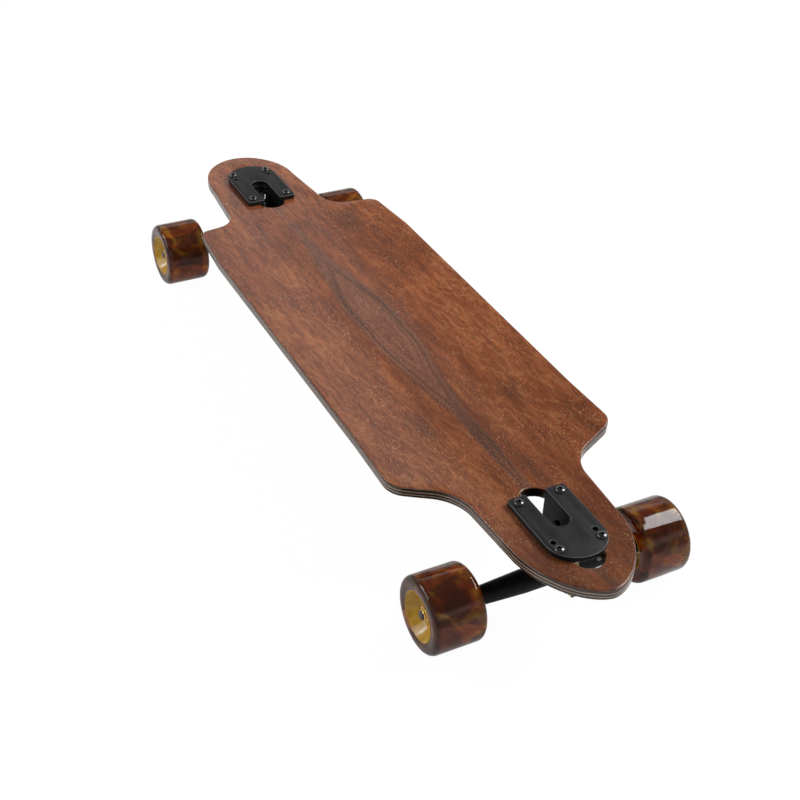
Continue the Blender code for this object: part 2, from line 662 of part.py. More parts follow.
def tyre_mesh():
    """The urethane tyre: flat tread, round lips and a dished face on both sides."""
    half = WHEEL_WIDTH / 2
    tread = TREAD_WIDTH / 2
    lip = LIP_DIAMETER / 2
    bore = CORE_DIAMETER / 2 + GAP
    upper = [(bore, CORE_WIDTH / 2), (DISH_DIAMETER / 2, DISH_WIDTH / 2), (CREST_DIAMETER / 2, half)]
    for step in range(LIP_STEPS + 1):
        angle = math.pi / 2 * step / LIP_STEPS
        radius = lip + (WHEEL_RADIUS - lip) * math.sin(angle)
        upper.append((radius, tread + (half - tread) * math.cos(angle)))
    lower = [(radius, -height) for radius, height in reversed(upper)]
    return turned(upper + lower, WHEEL_STEPS)


def core_mesh():
    radius = CORE_DIAMETER / 2
    bore = BEARING_DIAMETER / 2 + GAP
    shoulder = BEARING_DIAMETER / 2 - CORE_SHOULDER
    half = CORE_WIDTH / 2
    inner = BEARING_SPACING / 2 - GAP
    profile = [(radius, half), (radius, -half), (bore, -half), (bore, -inner), (shoulder, -inner),
               (shoulder, inner), (bore, inner), (bore, half)]
    return turned(profile, CORE_STEPS)


def bearing_mesh():
    half = BEARING_WIDTH / 2
    return tube(BEARING_DIAMETER / 2, AXLE_DIAMETER / 2 + GAP, -half, half)


def deck_bolt_mesh():
    head_radius = BOLT_HEAD_DIAMETER / 2
    shank = BOLT_DIAMETER / 2
    profile = []
    for step in range(DOME_STEPS + 1):
        angle = math.pi / 2 * step / DOME_STEPS
        profile.append((head_radius * math.sin(angle), GAP + BOLT_HEAD_HEIGHT * math.cos(angle)))
    profile += [(shank, GAP), (shank, -BOLT_LENGTH), (0, -BOLT_LENGTH)]
    return turned(profile, SMALL_STEPS)


def build_truck(prefix, end):
    """One truck's nodes; end is 1 at the nose and -1 at the tail."""
    turn = 0.0 if end > 0 else math.pi
    truck = empty(prefix + "truck_frame", (end * TRUCK_FROM_MIDDLE, 0, FLANGE_TOP), turn)
    steer = empty(prefix + "steering_axis", RING_CENTRE, parent=truck)
    place(prefix + "baseplate", baseplate_mesh(), BLACK_CAST, truck)
    pivot_turn = (0, PIVOT_TURN, 0)
    kingpin_turn = (0, KINGPIN_TURN, 0)
    place(prefix + "pivot_cup", pivot_cup_mesh(), CUP_PLASTIC, truck, RING_CENTRE, pivot_turn)
    place(prefix + "kingpin", kingpin_mesh(), BLACK_STEEL, truck, RING_CENTRE, kingpin_turn)
    nut_low = ROADSIDE_STACK + GAP
    nut = hex_nut(KINGPIN_ACROSS_FLATS, KINGPIN_DIAMETER / 2 + GAP, nut_low, nut_low + KINGPIN_NUT_HEIGHT,
                  NUT_CHAMFER)
    place(prefix + "kingpin_nut", nut, BRASS_STEEL, truck, RING_CENTRE, kingpin_turn)
    board_washer = washer_mesh(BOARDSIDE_WASHER_RADIUS, GAP - BOARDSIDE_STACK,
                               GAP - BOARDSIDE_STACK + WASHER_THICKNESS)
    road_washer = washer_mesh(ROADSIDE_WASHER_RADIUS, ROADSIDE_STACK - WASHER_THICKNESS, ROADSIDE_STACK)
    place(prefix + "boardside_washer", board_washer, STEEL, truck, RING_CENTRE, kingpin_turn)
    place(prefix + "roadside_washer", road_washer, STEEL, truck, RING_CENTRE, kingpin_turn)
    seat = RING_HALF_THICKNESS - BUSHING_SEAT_DEPTH + GAP
    road_bushing = bushing_mesh(seat, ROADSIDE_STACK - WASHER_THICKNESS - GAP, CONE_END_RADIUS)
    board_bushing = bushing_mesh(seat, BOARDSIDE_STACK - WASHER_THICKNESS - 2 * GAP, BUSHING_RADIUS)
    flipped_turn = (0, KINGPIN_TURN + math.pi, 0)
    place(prefix + "roadside_bushing", road_bushing, BUSHING_URETHANE, truck, RING_CENTRE, kingpin_turn)
    place(prefix + "boardside_bushing", board_bushing, BUSHING_URETHANE, truck, RING_CENTRE, flipped_turn)
    hanger = moved(hanger_mesh(), Matrix.Translation(-RING_CENTRE))
    place(prefix + "hanger", hanger, BLACK_CAST, steer)
    axle_centre = Vector((AXLE_SIDE_VIEW[0], 0, AXLE_SIDE_VIEW[1])) - RING_CENTRE
    along_y = (-math.pi / 2, 0, 0)
    place(prefix + "axle", axle_mesh(), STEEL, steer, axle_centre, along_y)
    nut_top = -FLANGE_THICKNESS - DECK_THICKNESS - 2 * GAP
    for index, (x, y) in enumerate(bolt_places(), 1):
        place(f"{prefix}deck_bolt_{index}", deck_bolt_mesh(), BLACK_STEEL, truck, (x, y, 0))
        lock_nut = hex_nut(LOCK_NUT_ACROSS_FLATS, BOLT_DIAMETER / 2 + GAP, 0, LOCK_NUT_HEIGHT,
                           LOCK_NUT_CHAMFER)
        place(f"{prefix}lock_nut_{index}", lock_nut, STEEL, truck, (x, y, nut_top), (math.pi, 0, 0))
    for side, side_name in ((1, "left_"), (-1, "right_")):
        build_wheel(prefix + side_name, end, side, steer, axle_centre)


def build_wheel(prefix, end, side, steer, axle_centre):
    """A wheel's nodes on one end of an axle; side is 1 on the rider's left."""
    local_side = side * end
    outward = (-math.pi / 2 * local_side, 0, 0)
    spin_centre = axle_centre + Vector((0, local_side * WHEEL_CENTRE, 0))
    spin = empty(prefix + "spin_axis", spin_centre, parent=steer)
    place(prefix + "tyre", tyre_mesh(), AMBER_URETHANE, spin, rotation=outward)
    place(prefix + "wheel_core", core_mesh(), GOLD_PLASTIC, spin, rotation=outward)
    bearing_centre = (BEARING_SPACING + BEARING_WIDTH) / 2
    for name, offset in (("inner_bearing", -bearing_centre), ("outer_bearing", bearing_centre)):
        place(prefix + name, bearing_mesh(), STEEL, spin, (0, local_side * offset, 0), outward)
    nut = hex_nut(AXLE_NUT_ACROSS_FLATS, AXLE_DIAMETER / 2 + GAP, 0, AXLE_NUT_HEIGHT, NUT_CHAMFER)
    nut_centre = axle_centre + Vector((0, local_side * AXLE_NUT_START, 0))
    place(prefix + "axle_nut", nut, BRASS_STEEL, steer, nut_centre, outward)


place("deck", deck_mesh(), WALNUT, location=(0, 0, DECK_TOP))
build_truck("front_", 1)
build_truck("rear_", -1)
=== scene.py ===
"""The looks of the drop-through cruiser board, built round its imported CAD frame.

Metres, +Z up, +X to the nose, +Y to the rider's left. Each truck's pieces are drawn in the truck's own
frame: +X outboard, +Z up, with the origin on top of the flange at the centre of the bolt pattern.
"""

import json
import math

import bmesh
import bpy
from mathutils import Matrix, Vector


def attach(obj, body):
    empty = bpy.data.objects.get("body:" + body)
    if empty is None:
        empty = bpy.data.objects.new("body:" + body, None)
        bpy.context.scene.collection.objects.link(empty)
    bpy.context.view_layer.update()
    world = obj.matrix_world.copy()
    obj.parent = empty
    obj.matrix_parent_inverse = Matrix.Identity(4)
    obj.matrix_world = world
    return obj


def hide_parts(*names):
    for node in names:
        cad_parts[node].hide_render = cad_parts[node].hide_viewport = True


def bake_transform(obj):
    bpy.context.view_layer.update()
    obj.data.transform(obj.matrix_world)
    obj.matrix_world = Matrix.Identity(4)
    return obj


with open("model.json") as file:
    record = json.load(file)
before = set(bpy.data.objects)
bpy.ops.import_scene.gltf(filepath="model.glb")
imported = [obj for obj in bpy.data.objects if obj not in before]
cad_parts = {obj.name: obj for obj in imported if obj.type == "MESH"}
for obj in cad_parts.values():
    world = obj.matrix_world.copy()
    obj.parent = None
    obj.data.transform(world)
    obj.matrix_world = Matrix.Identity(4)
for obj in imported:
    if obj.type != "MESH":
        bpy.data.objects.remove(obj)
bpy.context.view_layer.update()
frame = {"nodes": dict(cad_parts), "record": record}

# Deck
DECK_LENGTH = 0.826
DECK_HALF_WIDTH = 0.112
DECK_THICKNESS = 0.011
SHOULDER_FROM_MIDDLE = 0.2375
SHOULDER_TAPER_LENGTH = 0.070
SHOULDER_TO_NECK = 0.021
SHOULDER_RADIUS = 0.017
NECK_HALF_WIDTH = 0.059
NECK_RADIUS = 0.036
RAIL_RISE = 0.0115
FLAT_HALF_WIDTH = 0.030
CONCAVE_POWER = 1.6
DECK_ROUNDING = 0.0016
STRIP_ACROSS = 0.003
STRIP_ALONG = 0.020
# The half width at the shoulders, then the tongue's half width, length and roundness
NOSE_SHAPE = (0.114, 0.0543, 0.074, 1.7)
TAIL_SHAPE = (0.1065, 0.0513, 0.065, 2.05)

# Veneer: half the width of its middle lens along the deck, and where its knots lie
LENS_REACH = 0.42
LENS_SCALE = 0.05
LENS_HALF_WIDTHS = ((-0.42, 0.0), (-0.28, 0.001), (-0.20, 0.004), (-0.12, 0.013), (-0.04, 0.024),
                    (0.0, 0.0245), (0.095, 0.0145), (0.17, 0.008), (0.28, 0.004), (0.42, 0.004))
KNOTS = ((0.150, 0.055), (0.160, -0.046), (-0.215, 0.060))

# Truck mounting
TRUCK_FROM_MIDDLE = 0.328
BOLT_PATTERN_LENGTH = 0.0635
SHORT_BOLT_PATTERN_LENGTH = 0.054
BOLT_PATTERN_WIDTH = 0.0413
BOLT_DIAMETER = 0.0047
BOLT_HEAD_RADIUS = 0.0047
BOLT_HEAD_HEIGHT = 0.0024
BOLT_SOCKET_ACROSS_FLATS = 0.0032
BOLT_SOCKET_DEPTH = 0.0017
BOLT_LENGTH = 0.026
BOLT_CLEARANCE = 0.0004
LOCK_NUT_ACROSS_FLATS = 0.0095
LOCK_NUT_HEIGHT = 0.0055

# Shares of a nut's height, of half its width across flats, and of how far its corners stand out
NUT_BODY_SHARE = 0.72
NUT_FACE_SHARE = 0.96
NUT_CHAMFER_SHARE = 0.8
COLLAR_FACE_SHARE = 0.72
COLLAR_EDGE_SHARE = 0.84
COLLAR_FOOT_SHARE = 0.88

# Baseplate
FLANGE_HALF_WIDTH = 0.0287
FLANGE_THICKNESS = 0.005
FLANGE_INBOARD_REACH = 0.0393
FLANGE_OUTBOARD_REACH = 0.0487
FLANGE_ROUND_LENGTH = 0.0265
FLANGE_CORNER_RADIUS = 0.003
FLANGE_ROUNDING = 0.0006
FLANGE_SLOT_END = 0.0085
SLOT_MOUTH_RADIUS = 0.0015
TOWER_HALF_WIDTH = 0.0135
TOWER_WALL = 0.0037
TOWER_BACK_SLANT = 0.019
TOWER_FRONT_SLANT = 0.010
TOWER_INSET = 0.001
SEAT_THICKNESS = 0.007
SEAT_MARGIN = 0.0075
CHANNEL_MARGIN = 0.0025
TOWER_TOP_DEPTH = 0.0009
SLOT_LINING = 0.0002
SLOT_LEDGE_DEPTH = 0.006
POCKET_DEPTH = 0.0105
POCKET_END = 0.004
DECK_SLOT_HALF_WIDTH = 0.015
DECK_SLOT_INBOARD_REACH = 0.0507
DECK_SLOT_OUTBOARD_REACH = 0.057

# Steering geometry
STEERING_AXIS_TILT = math.radians(50)
RING_DEPTH = 0.036
AXLE_REACH = 0.0337
AXLE_RAKE = 0.005
AXLE_INSET = 0.0053

# Kingpin stack
KINGPIN_RADIUS = 0.00475
KINGPIN_ACROSS_FLATS = 0.0143
KINGPIN_HEAD_HEIGHT = 0.006
KINGPIN_NUT_HEIGHT = 0.0078
KINGPIN_THREAD_SHOWN = 0.002
RING_HALF_THICKNESS = 0.005
RING_RADIUS = 0.0155
RING_HOLE_RADIUS = 0.0085
BUSHING_RADIUS = 0.0125
BUSHING_WAIST = 0.0008
BUSHING_EDGE = 0.0011
BOARDSIDE_BUSHING_HEIGHT = 0.0135
ROADSIDE_BUSHING_HEIGHT = 0.0145
CONE_END_RADIUS = 0.0100
BUSHING_SEAT_DEPTH = 0.0012
BUSHING_BORE = ((0.0, 0.0076), (0.35, 0.0076), (0.52, 0.0070), (0.67, 0.0063), (0.82, 0.0055))
WASHER_THICKNESS = 0.0016
WASHER_ROUNDING = 0.00056
BOARDSIDE_WASHER_RADIUS = 0.0122
ROADSIDE_WASHER_RADIUS = 0.0108

# Hanger and axle
HANGER_WIDTH = 0.180
HANGER_BARREL_RADIUS = 0.0106
HANGER_END_RADIUS = 0.0086
BARREL_HALF_LENGTH = 0.027
BARREL_TAPER_END = 0.065
YOKE_HALF_WIDTH = 0.032
YOKE_EDGE_HALF_WIDTH = 0.0034
YOKE_WAIST_ALONG = 0.0185
YOKE_WAIST_HALF_WIDTH = 0.0163
YOKE_THICKNESS = 0.0076
YOKE_WRAP_DEGREES = 85
PIVOT_ROOT_RADIUS = 0.0066
PIVOT_TIP_RADIUS = 0.0050
PIVOT_REACH = 0.0169
PIVOT_CLEARANCE = 0.0006
CUP_WALL = 0.0028
BOSS_WALL = 0.0025
AXLE_RADIUS = 0.00395
SPEED_RING_RADIUS = 0.0054
SPEED_RING_THICKNESS = 0.001
AXLE_NUT_ACROSS_FLATS = 0.0127
AXLE_NUT_HEIGHT = 0.0065
AXLE_THREAD_SHOWN = 0.0012

# Wheels
WHEEL_RADIUS = 0.035
WHEEL_WIDTH = 0.049
TREAD_WIDTH = 0.038
LIP_RADIUS = 0.030
CREST_RADIUS = 0.02725
CREST_ROUNDING = 0.0016
CORE_RADIUS = 0.018
CORE_WIDTH = 0.025
CORE_SHOULDER_RADIUS = 0.0078
CORE_HUB_RADIUS = 0.0135
CORE_RIB_COUNT = 12
CORE_RIB_HALF_WIDTH = 0.0016
CORE_RIM_WIDTH = 0.0035
CORE_RIM_STEP = 0.001
CORE_SEAT_WALL = 0.0012
CORE_SEAT_EDGE = 0.0006
CORE_FACE_RADIUS = 0.0150
CORE_FACE_ROUNDING = 0.006
CORE_FLARE_RADIUS = 0.0222
CORE_FLARE_WIDTH = 0.0478
CORE_FLARE_WALL = 0.0007
BEARING_RADIUS = 0.011
BEARING_WIDTH = 0.007
BEARING_SPACING = 0.010
SHIELD_RECESS = 0.0005
OUTER_RING_WALL = 0.0016
INNER_RING_WALL = 0.0018
RING_EDGE = 0.0002
SHIELD_EDGE = 0.0003

# Worked out from the sizes above
GAP = 0.0003
TILT_SIN = math.sin(STEERING_AXIS_TILT)
TILT_COS = math.cos(STEERING_AXIS_TILT)
TOWER_INBOARD_REACH = FLANGE_INBOARD_REACH - TOWER_INSET
AXLE_DEPTH = RING_DEPTH + AXLE_REACH * TILT_SIN + AXLE_RAKE * TILT_COS
RING_OUTBOARD = AXLE_REACH * TILT_COS - AXLE_RAKE * TILT_SIN - AXLE_INSET
FLANGE_TOP = WHEEL_RADIUS + AXLE_DEPTH
DECK_TOP = FLANGE_TOP - FLANGE_THICKNESS - GAP
BOARDSIDE_STACK = RING_HALF_THICKNESS + BOARDSIDE_BUSHING_HEIGHT + WASHER_THICKNESS + GAP
ROADSIDE_STACK = RING_HALF_THICKNESS + ROADSIDE_BUSHING_HEIGHT + WASHER_THICKNESS + GAP
SEAT_BACK = BOARDSIDE_STACK + SEAT_THICKNESS
CUP_RADIUS = PIVOT_TIP_RADIUS + PIVOT_CLEARANCE + CUP_WALL
BOSS_RADIUS = CUP_RADIUS + GAP + BOSS_WALL
BOSS_START = AXLE_REACH + HANGER_BARREL_RADIUS + PIVOT_CLEARANCE
PIVOT_END = AXLE_REACH + PIVOT_REACH
CUP_END = PIVOT_END + PIVOT_CLEARANCE + CUP_WALL / 2
BOSS_END = CUP_END + GAP + BOSS_WALL
INNER_BEARING_START = HANGER_WIDTH / 2 + GAP + SPEED_RING_THICKNESS + GAP
WHEEL_CENTRE = INNER_BEARING_START + BEARING_WIDTH + BEARING_SPACING / 2
OUTER_RING_START = WHEEL_CENTRE + BEARING_SPACING / 2 + BEARING_WIDTH + GAP
AXLE_NUT_START = OUTER_RING_START + SPEED_RING_THICKNESS + GAP
AXLE_END = AXLE_NUT_START + AXLE_NUT_HEIGHT + AXLE_THREAD_SHOWN
BOLT_HOLE_RADIUS = BOLT_DIAMETER / 2 + BOLT_CLEARANCE
HEX_CORNER = 1 / math.cos(math.pi / 6)

# Mesh detail
ARC_STEPS = 12
BEVEL_STEPS = 3
WHEEL_STEPS = 96
ROUND_STEPS = 48
SMALL_STEPS = 32
THREAD_PITCH = 0.0012
THREAD_DEPTH = 0.00035
MERGE = 0.00001
MILLIMETRE = 0.001
OVERRUN = 0.010
SHARP_ANGLE = math.radians(35)
CAST_VOXEL = 0.0006
CAST_SMOOTHING = 5
CAST_SHARE_KEPT = 0.25

# Camera, fitted to the photograph
CAMERA_PLACE = (1.0036, -0.5300, 0.8298)
CAMERA_AZIMUTH = math.radians(151.136)
CAMERA_ELEVATION = math.radians(-36.011)
CAMERA_ROLL = math.radians(2.966)
CAMERA_LENS = 60.29
CAMERA_SENSOR = 36.0

# Studio
AMBIENT = 0.20
FLOOR_GLOSS = 0.40
WALL_GLOSS = ((0.0, 0.42), (0.30, 0.45), (0.42, 0.95), (0.50, 0.84), (0.61, 0.08), (1.0, 0.05))
FLOOR_GLOW = 0.95
FLOOR_WHITE = 1.03
FLOOR_REACH = 12.0
FLOOR_DROP = 0.0002

BODY_OF = {node: body for body, nodes in frame["record"]["behaviour"]["bodies"].items() for node in nodes}


class Nodes:
    """Short names for the nodes of one node tree."""

    def __init__(self, tree):
        self.tree = tree

    def node(self, kind, inputs=(), **settings):
        made = self.tree.nodes.new(kind)
        for setting, value in settings.items():
            setattr(made, setting, value)
        for socket, value in dict(inputs).items():
            if isinstance(value, bpy.types.NodeSocket):
                self.tree.links.new(value, made.inputs[socket])
            else:
                made.inputs[socket].default_value = value
        return made

    def math(self, operation, first, second=0.0):
        return self.node("ShaderNodeMath", {0: first, 1: second}, operation=operation).outputs[0]

    def times(self, first, second):
        return self.math("MULTIPLY", first, second)

    def axis(self, vector, name):
        return self.node("ShaderNodeSeparateXYZ", {"Vector": vector}).outputs[name]

    def ramp(self, value, stops):
        made = self.node("ShaderNodeValToRGB", {"Fac": value})
        elements = made.color_ramp.elements
        for _ in stops[2:]:
            elements.new(0.5)
        for element, (position, colour) in zip(elements, stops):
            element.position = position
            element.color = (*colour, 1.0)
        return made.outputs["Color"]

    def seen_directly(self, gloss):
        """1 for camera and transmission rays, the gloss for glossy ones, and 0 for diffuse ones."""
        path = self.node("ShaderNodeLightPath").outputs
        straight = self.math("MAXIMUM", path["Is Camera Ray"], path["Is Transmission Ray"])
        return self.math("MAXIMUM", straight, self.times(path["Is Glossy Ray"], gloss))


class Look(Nodes):
    """A procedural material: its Principled shader and the nodes that feed it."""

    def __init__(self, name, **sockets):
        self.material = bpy.data.materials.new(name)
        self.material.use_nodes = True
        super().__init__(self.material.node_tree)
        self.shader = self.tree.nodes["Principled BSDF"]
        for socket, value in sockets.items():
            self.shader.inputs[socket.replace("_", " ")].default_value = value
        self.place = self.node("ShaderNodeTexCoord").outputs["Object"]

    def set(self, socket, value):
        self.tree.links.new(value, self.shader.inputs[socket])

    def output(self, socket, value):
        self.tree.links.new(value, self.tree.nodes["Material Output"].inputs[socket])

    def stretched(self, scale, turn=0.0, where=None):
        where = self.place if where is None else where
        inputs = {"Vector": where, "Scale": scale, "Rotation": (0, 0, turn)}
        return self.node("ShaderNodeMapping", inputs).outputs["Vector"]

    def noise(self, scale, detail=2.0, where=None, roughness=0.5, distortion=0.0):
        where = self.place if where is None else where
        inputs = {"Vector": where, "Scale": scale, "Detail": detail, "Roughness": roughness,
                  "Distortion": distortion}
        return self.node("ShaderNodeTexNoise", inputs).outputs["Fac"]

    def ranged(self, value, low, high, to_low=0.0, to_high=1.0, smooth=False):
        inputs = {"Value": value, "From Min": low, "From Max": high, "To Min": to_low, "To Max": to_high}
        kind = "SMOOTHSTEP" if smooth else "LINEAR"
        return self.node("ShaderNodeMapRange", inputs, interpolation_type=kind).outputs["Result"]

    def mix(self, share, *colours):
        """The first colour, mixed with this share of the second."""
        first, second = [colour if isinstance(colour, bpy.types.NodeSocket) else (*colour, 1.0)
                         for colour in colours]
        return self.node("ShaderNodeMix", {0: share, 6: first, 7: second}, data_type="RGBA").outputs[2]

    def bump(self, height, distance, strength):
        inputs = {"Height": height, "Distance": distance, "Strength": strength}
        self.set("Normal", self.node("ShaderNodeBump", inputs).outputs["Normal"])


def cast_look(name, colour, gloss, edge):
    """Satin black powder coat on a casting: a fine orange peel, and a lighter tone on its upward-facing edge
    bevels, partly turned metal and partly a painted highlight.
    """
    look = Look(name, Specular_IOR_Level=gloss)
    peel = look.noise(1400.0, 3.0)
    patches = look.noise(60.0, 3.0)
    paler = tuple(1.6 * level for level in colour)
    shade = look.mix(look.ranged(patches, 0.35, 0.7), colour, paler)
    # Partly turned metal, partly painted highlight: the edge colour goes only on bevels that face upwards,
    # where the light falls.
    upward = look.axis(look.node("ShaderNodeTexCoord").outputs["Normal"], "Z")
    turned = look.times(look.ranged(upward, 0.25, 0.45), look.ranged(upward, 0.97, 0.90))
    look.set("Base Color", look.mix(turned, shade, edge))
    look.set("Roughness", look.ranged(look.math("ADD", patches, peel), 0.7, 1.3, 0.36, 0.50))
    look.bump(peel, 0.00012, 0.5)
    return look.material


def clouded_look(name, tones, spread, scale, roughness, relief, depth=0.00005, strength=0.4, detail=3.0,
                 **sockets):
    """Plastic, rubber or oxide: clouds between two tones, smooth to rough with them, and a fine relief."""
    look = Look(name, **sockets)
    cloud = look.noise(scale, detail)
    look.set("Base Color", look.mix(look.ranged(cloud, *spread), *tones))
    look.set("Roughness", look.ranged(cloud, 0.3, 0.7, *roughness))
    look.bump(look.noise(relief), depth, strength)
    return look.material


def steel_look(name, colour, darker, roughness):
    """Plated or polished steel with fine turned lines and faint stains."""
    look = Look(name, Metallic=1.0)
    stain = look.noise(140.0, 4.0)
    scratch = look.noise(900.0, 2.0, look.stretched((1.0, 12.0, 1.0), 0.6))
    look.set("Base Color", look.mix(look.ranged(stain, 0.35, 0.72), colour, darker))
    worn = look.math("ADD", stain, scratch)
    look.set("Roughness", look.ranged(worn, 0.7, 1.4, roughness, roughness + 0.16))
    look.bump(scratch, 0.00003, 0.35)
    return look.material


def tyre_look():
    """Translucent amber-brown urethane: wet on top, swirled inside, with a painted golden glow over the
    core's flare.
    """
    look = Look("amber_urethane", Transmission_Weight=0.88, IOR=1.38)
    swirl = look.noise(52.0, 4.0, distortion=1.0)
    fine = look.noise(260.0, 2.0)
    from_board = look.math("ABSOLUTE", look.axis(look.place, "Y"))
    from_middle = look.math("ABSOLUTE", look.math("SUBTRACT", from_board, WHEEL_CENTRE))
    # Painted glow: the colour turns golden over the core's flare, standing in for light that comes through
    # the urethane from the gold core.
    painted_core_glow = look.times(look.ranged(from_middle, 0.011, 0.018, 0.0, 0.10),
                            look.ranged(from_middle, 0.0195, 0.0225, 1.0, 0.0))
    colour = look.ramp(look.math("ADD", swirl, painted_core_glow),
                       [(0.40, (0.19, 0.050, 0.013)), (0.54, (0.33, 0.104, 0.020)),
                        (0.62, (0.64, 0.260, 0.034)), (0.72, (1.00, 0.60, 0.045))])
    look.set("Base Color", colour)
    look.set("Roughness", look.ranged(fine, 0.35, 0.7, 0.02, 0.07))
    look.bump(fine, 0.00006, 0.3)
    absorption = look.node("ShaderNodeVolumeAbsorption", {"Color": (0.64, 0.36, 0.09, 1.0), "Density": 85.0})
    look.output("Volume", absorption.outputs["Volume"])
    return look.material


def ply_look():
    """The deck's lacquered edge: thin pale plies between dark ones, by depth below the top, painted dark as
    shade in the slots.
    """
    look = Look("lacquered_plies")
    depth = look.node("ShaderNodeAttribute", attribute_name="depth").outputs["Fac"]
    waver = look.ranged(look.noise(60.0, 3.0, look.stretched((1.0, 1.0, 0.2))), 0.3, 0.7, -0.02, 0.02)
    share = look.math("ADD", look.math("DIVIDE", depth, DECK_THICKNESS), waver)
    dark = (0.022, 0.014, 0.010)
    brown = (0.060, 0.036, 0.022)
    pale = (0.55, 0.41, 0.32)
    plies = look.ramp(share, [(0.00, pale), (0.08, pale), (0.12, dark), (0.34, brown), (0.38, pale),
                              (0.43, pale), (0.47, dark), (0.62, brown), (0.66, pale), (0.70, pale),
                              (0.74, dark), (1.00, brown)])
    grain = look.noise(90.0, 3.0, look.stretched((1.0, 1.0, 9.0)))
    edge = look.mix(look.ranged(grain, 0.3, 0.75, 0.0, 0.45), plies, (0.035, 0.022, 0.015))
    # Painted shade: the plies that line the truck slots are darkened, as the slots lie in shadow.
    near_middle = look.ranged(look.math("ABSOLUTE", look.axis(look.place, "Y")), 0.019, 0.023, 1.0, 0.0)
    before_tip = look.ranged(look.math("ABSOLUTE", look.axis(look.place, "X")), 0.388, 0.392, 1.0, 0.0)
    painted_slot_shade = look.times(near_middle, before_tip)
    look.set("Base Color", look.mix(painted_slot_shade, edge, (0.016, 0.007, 0.004)))
    look.set("Roughness", look.ranged(grain, 0.3, 0.7, 0.16, 0.30))
    look.bump(grain, 0.00008, 0.5)
    return look.material


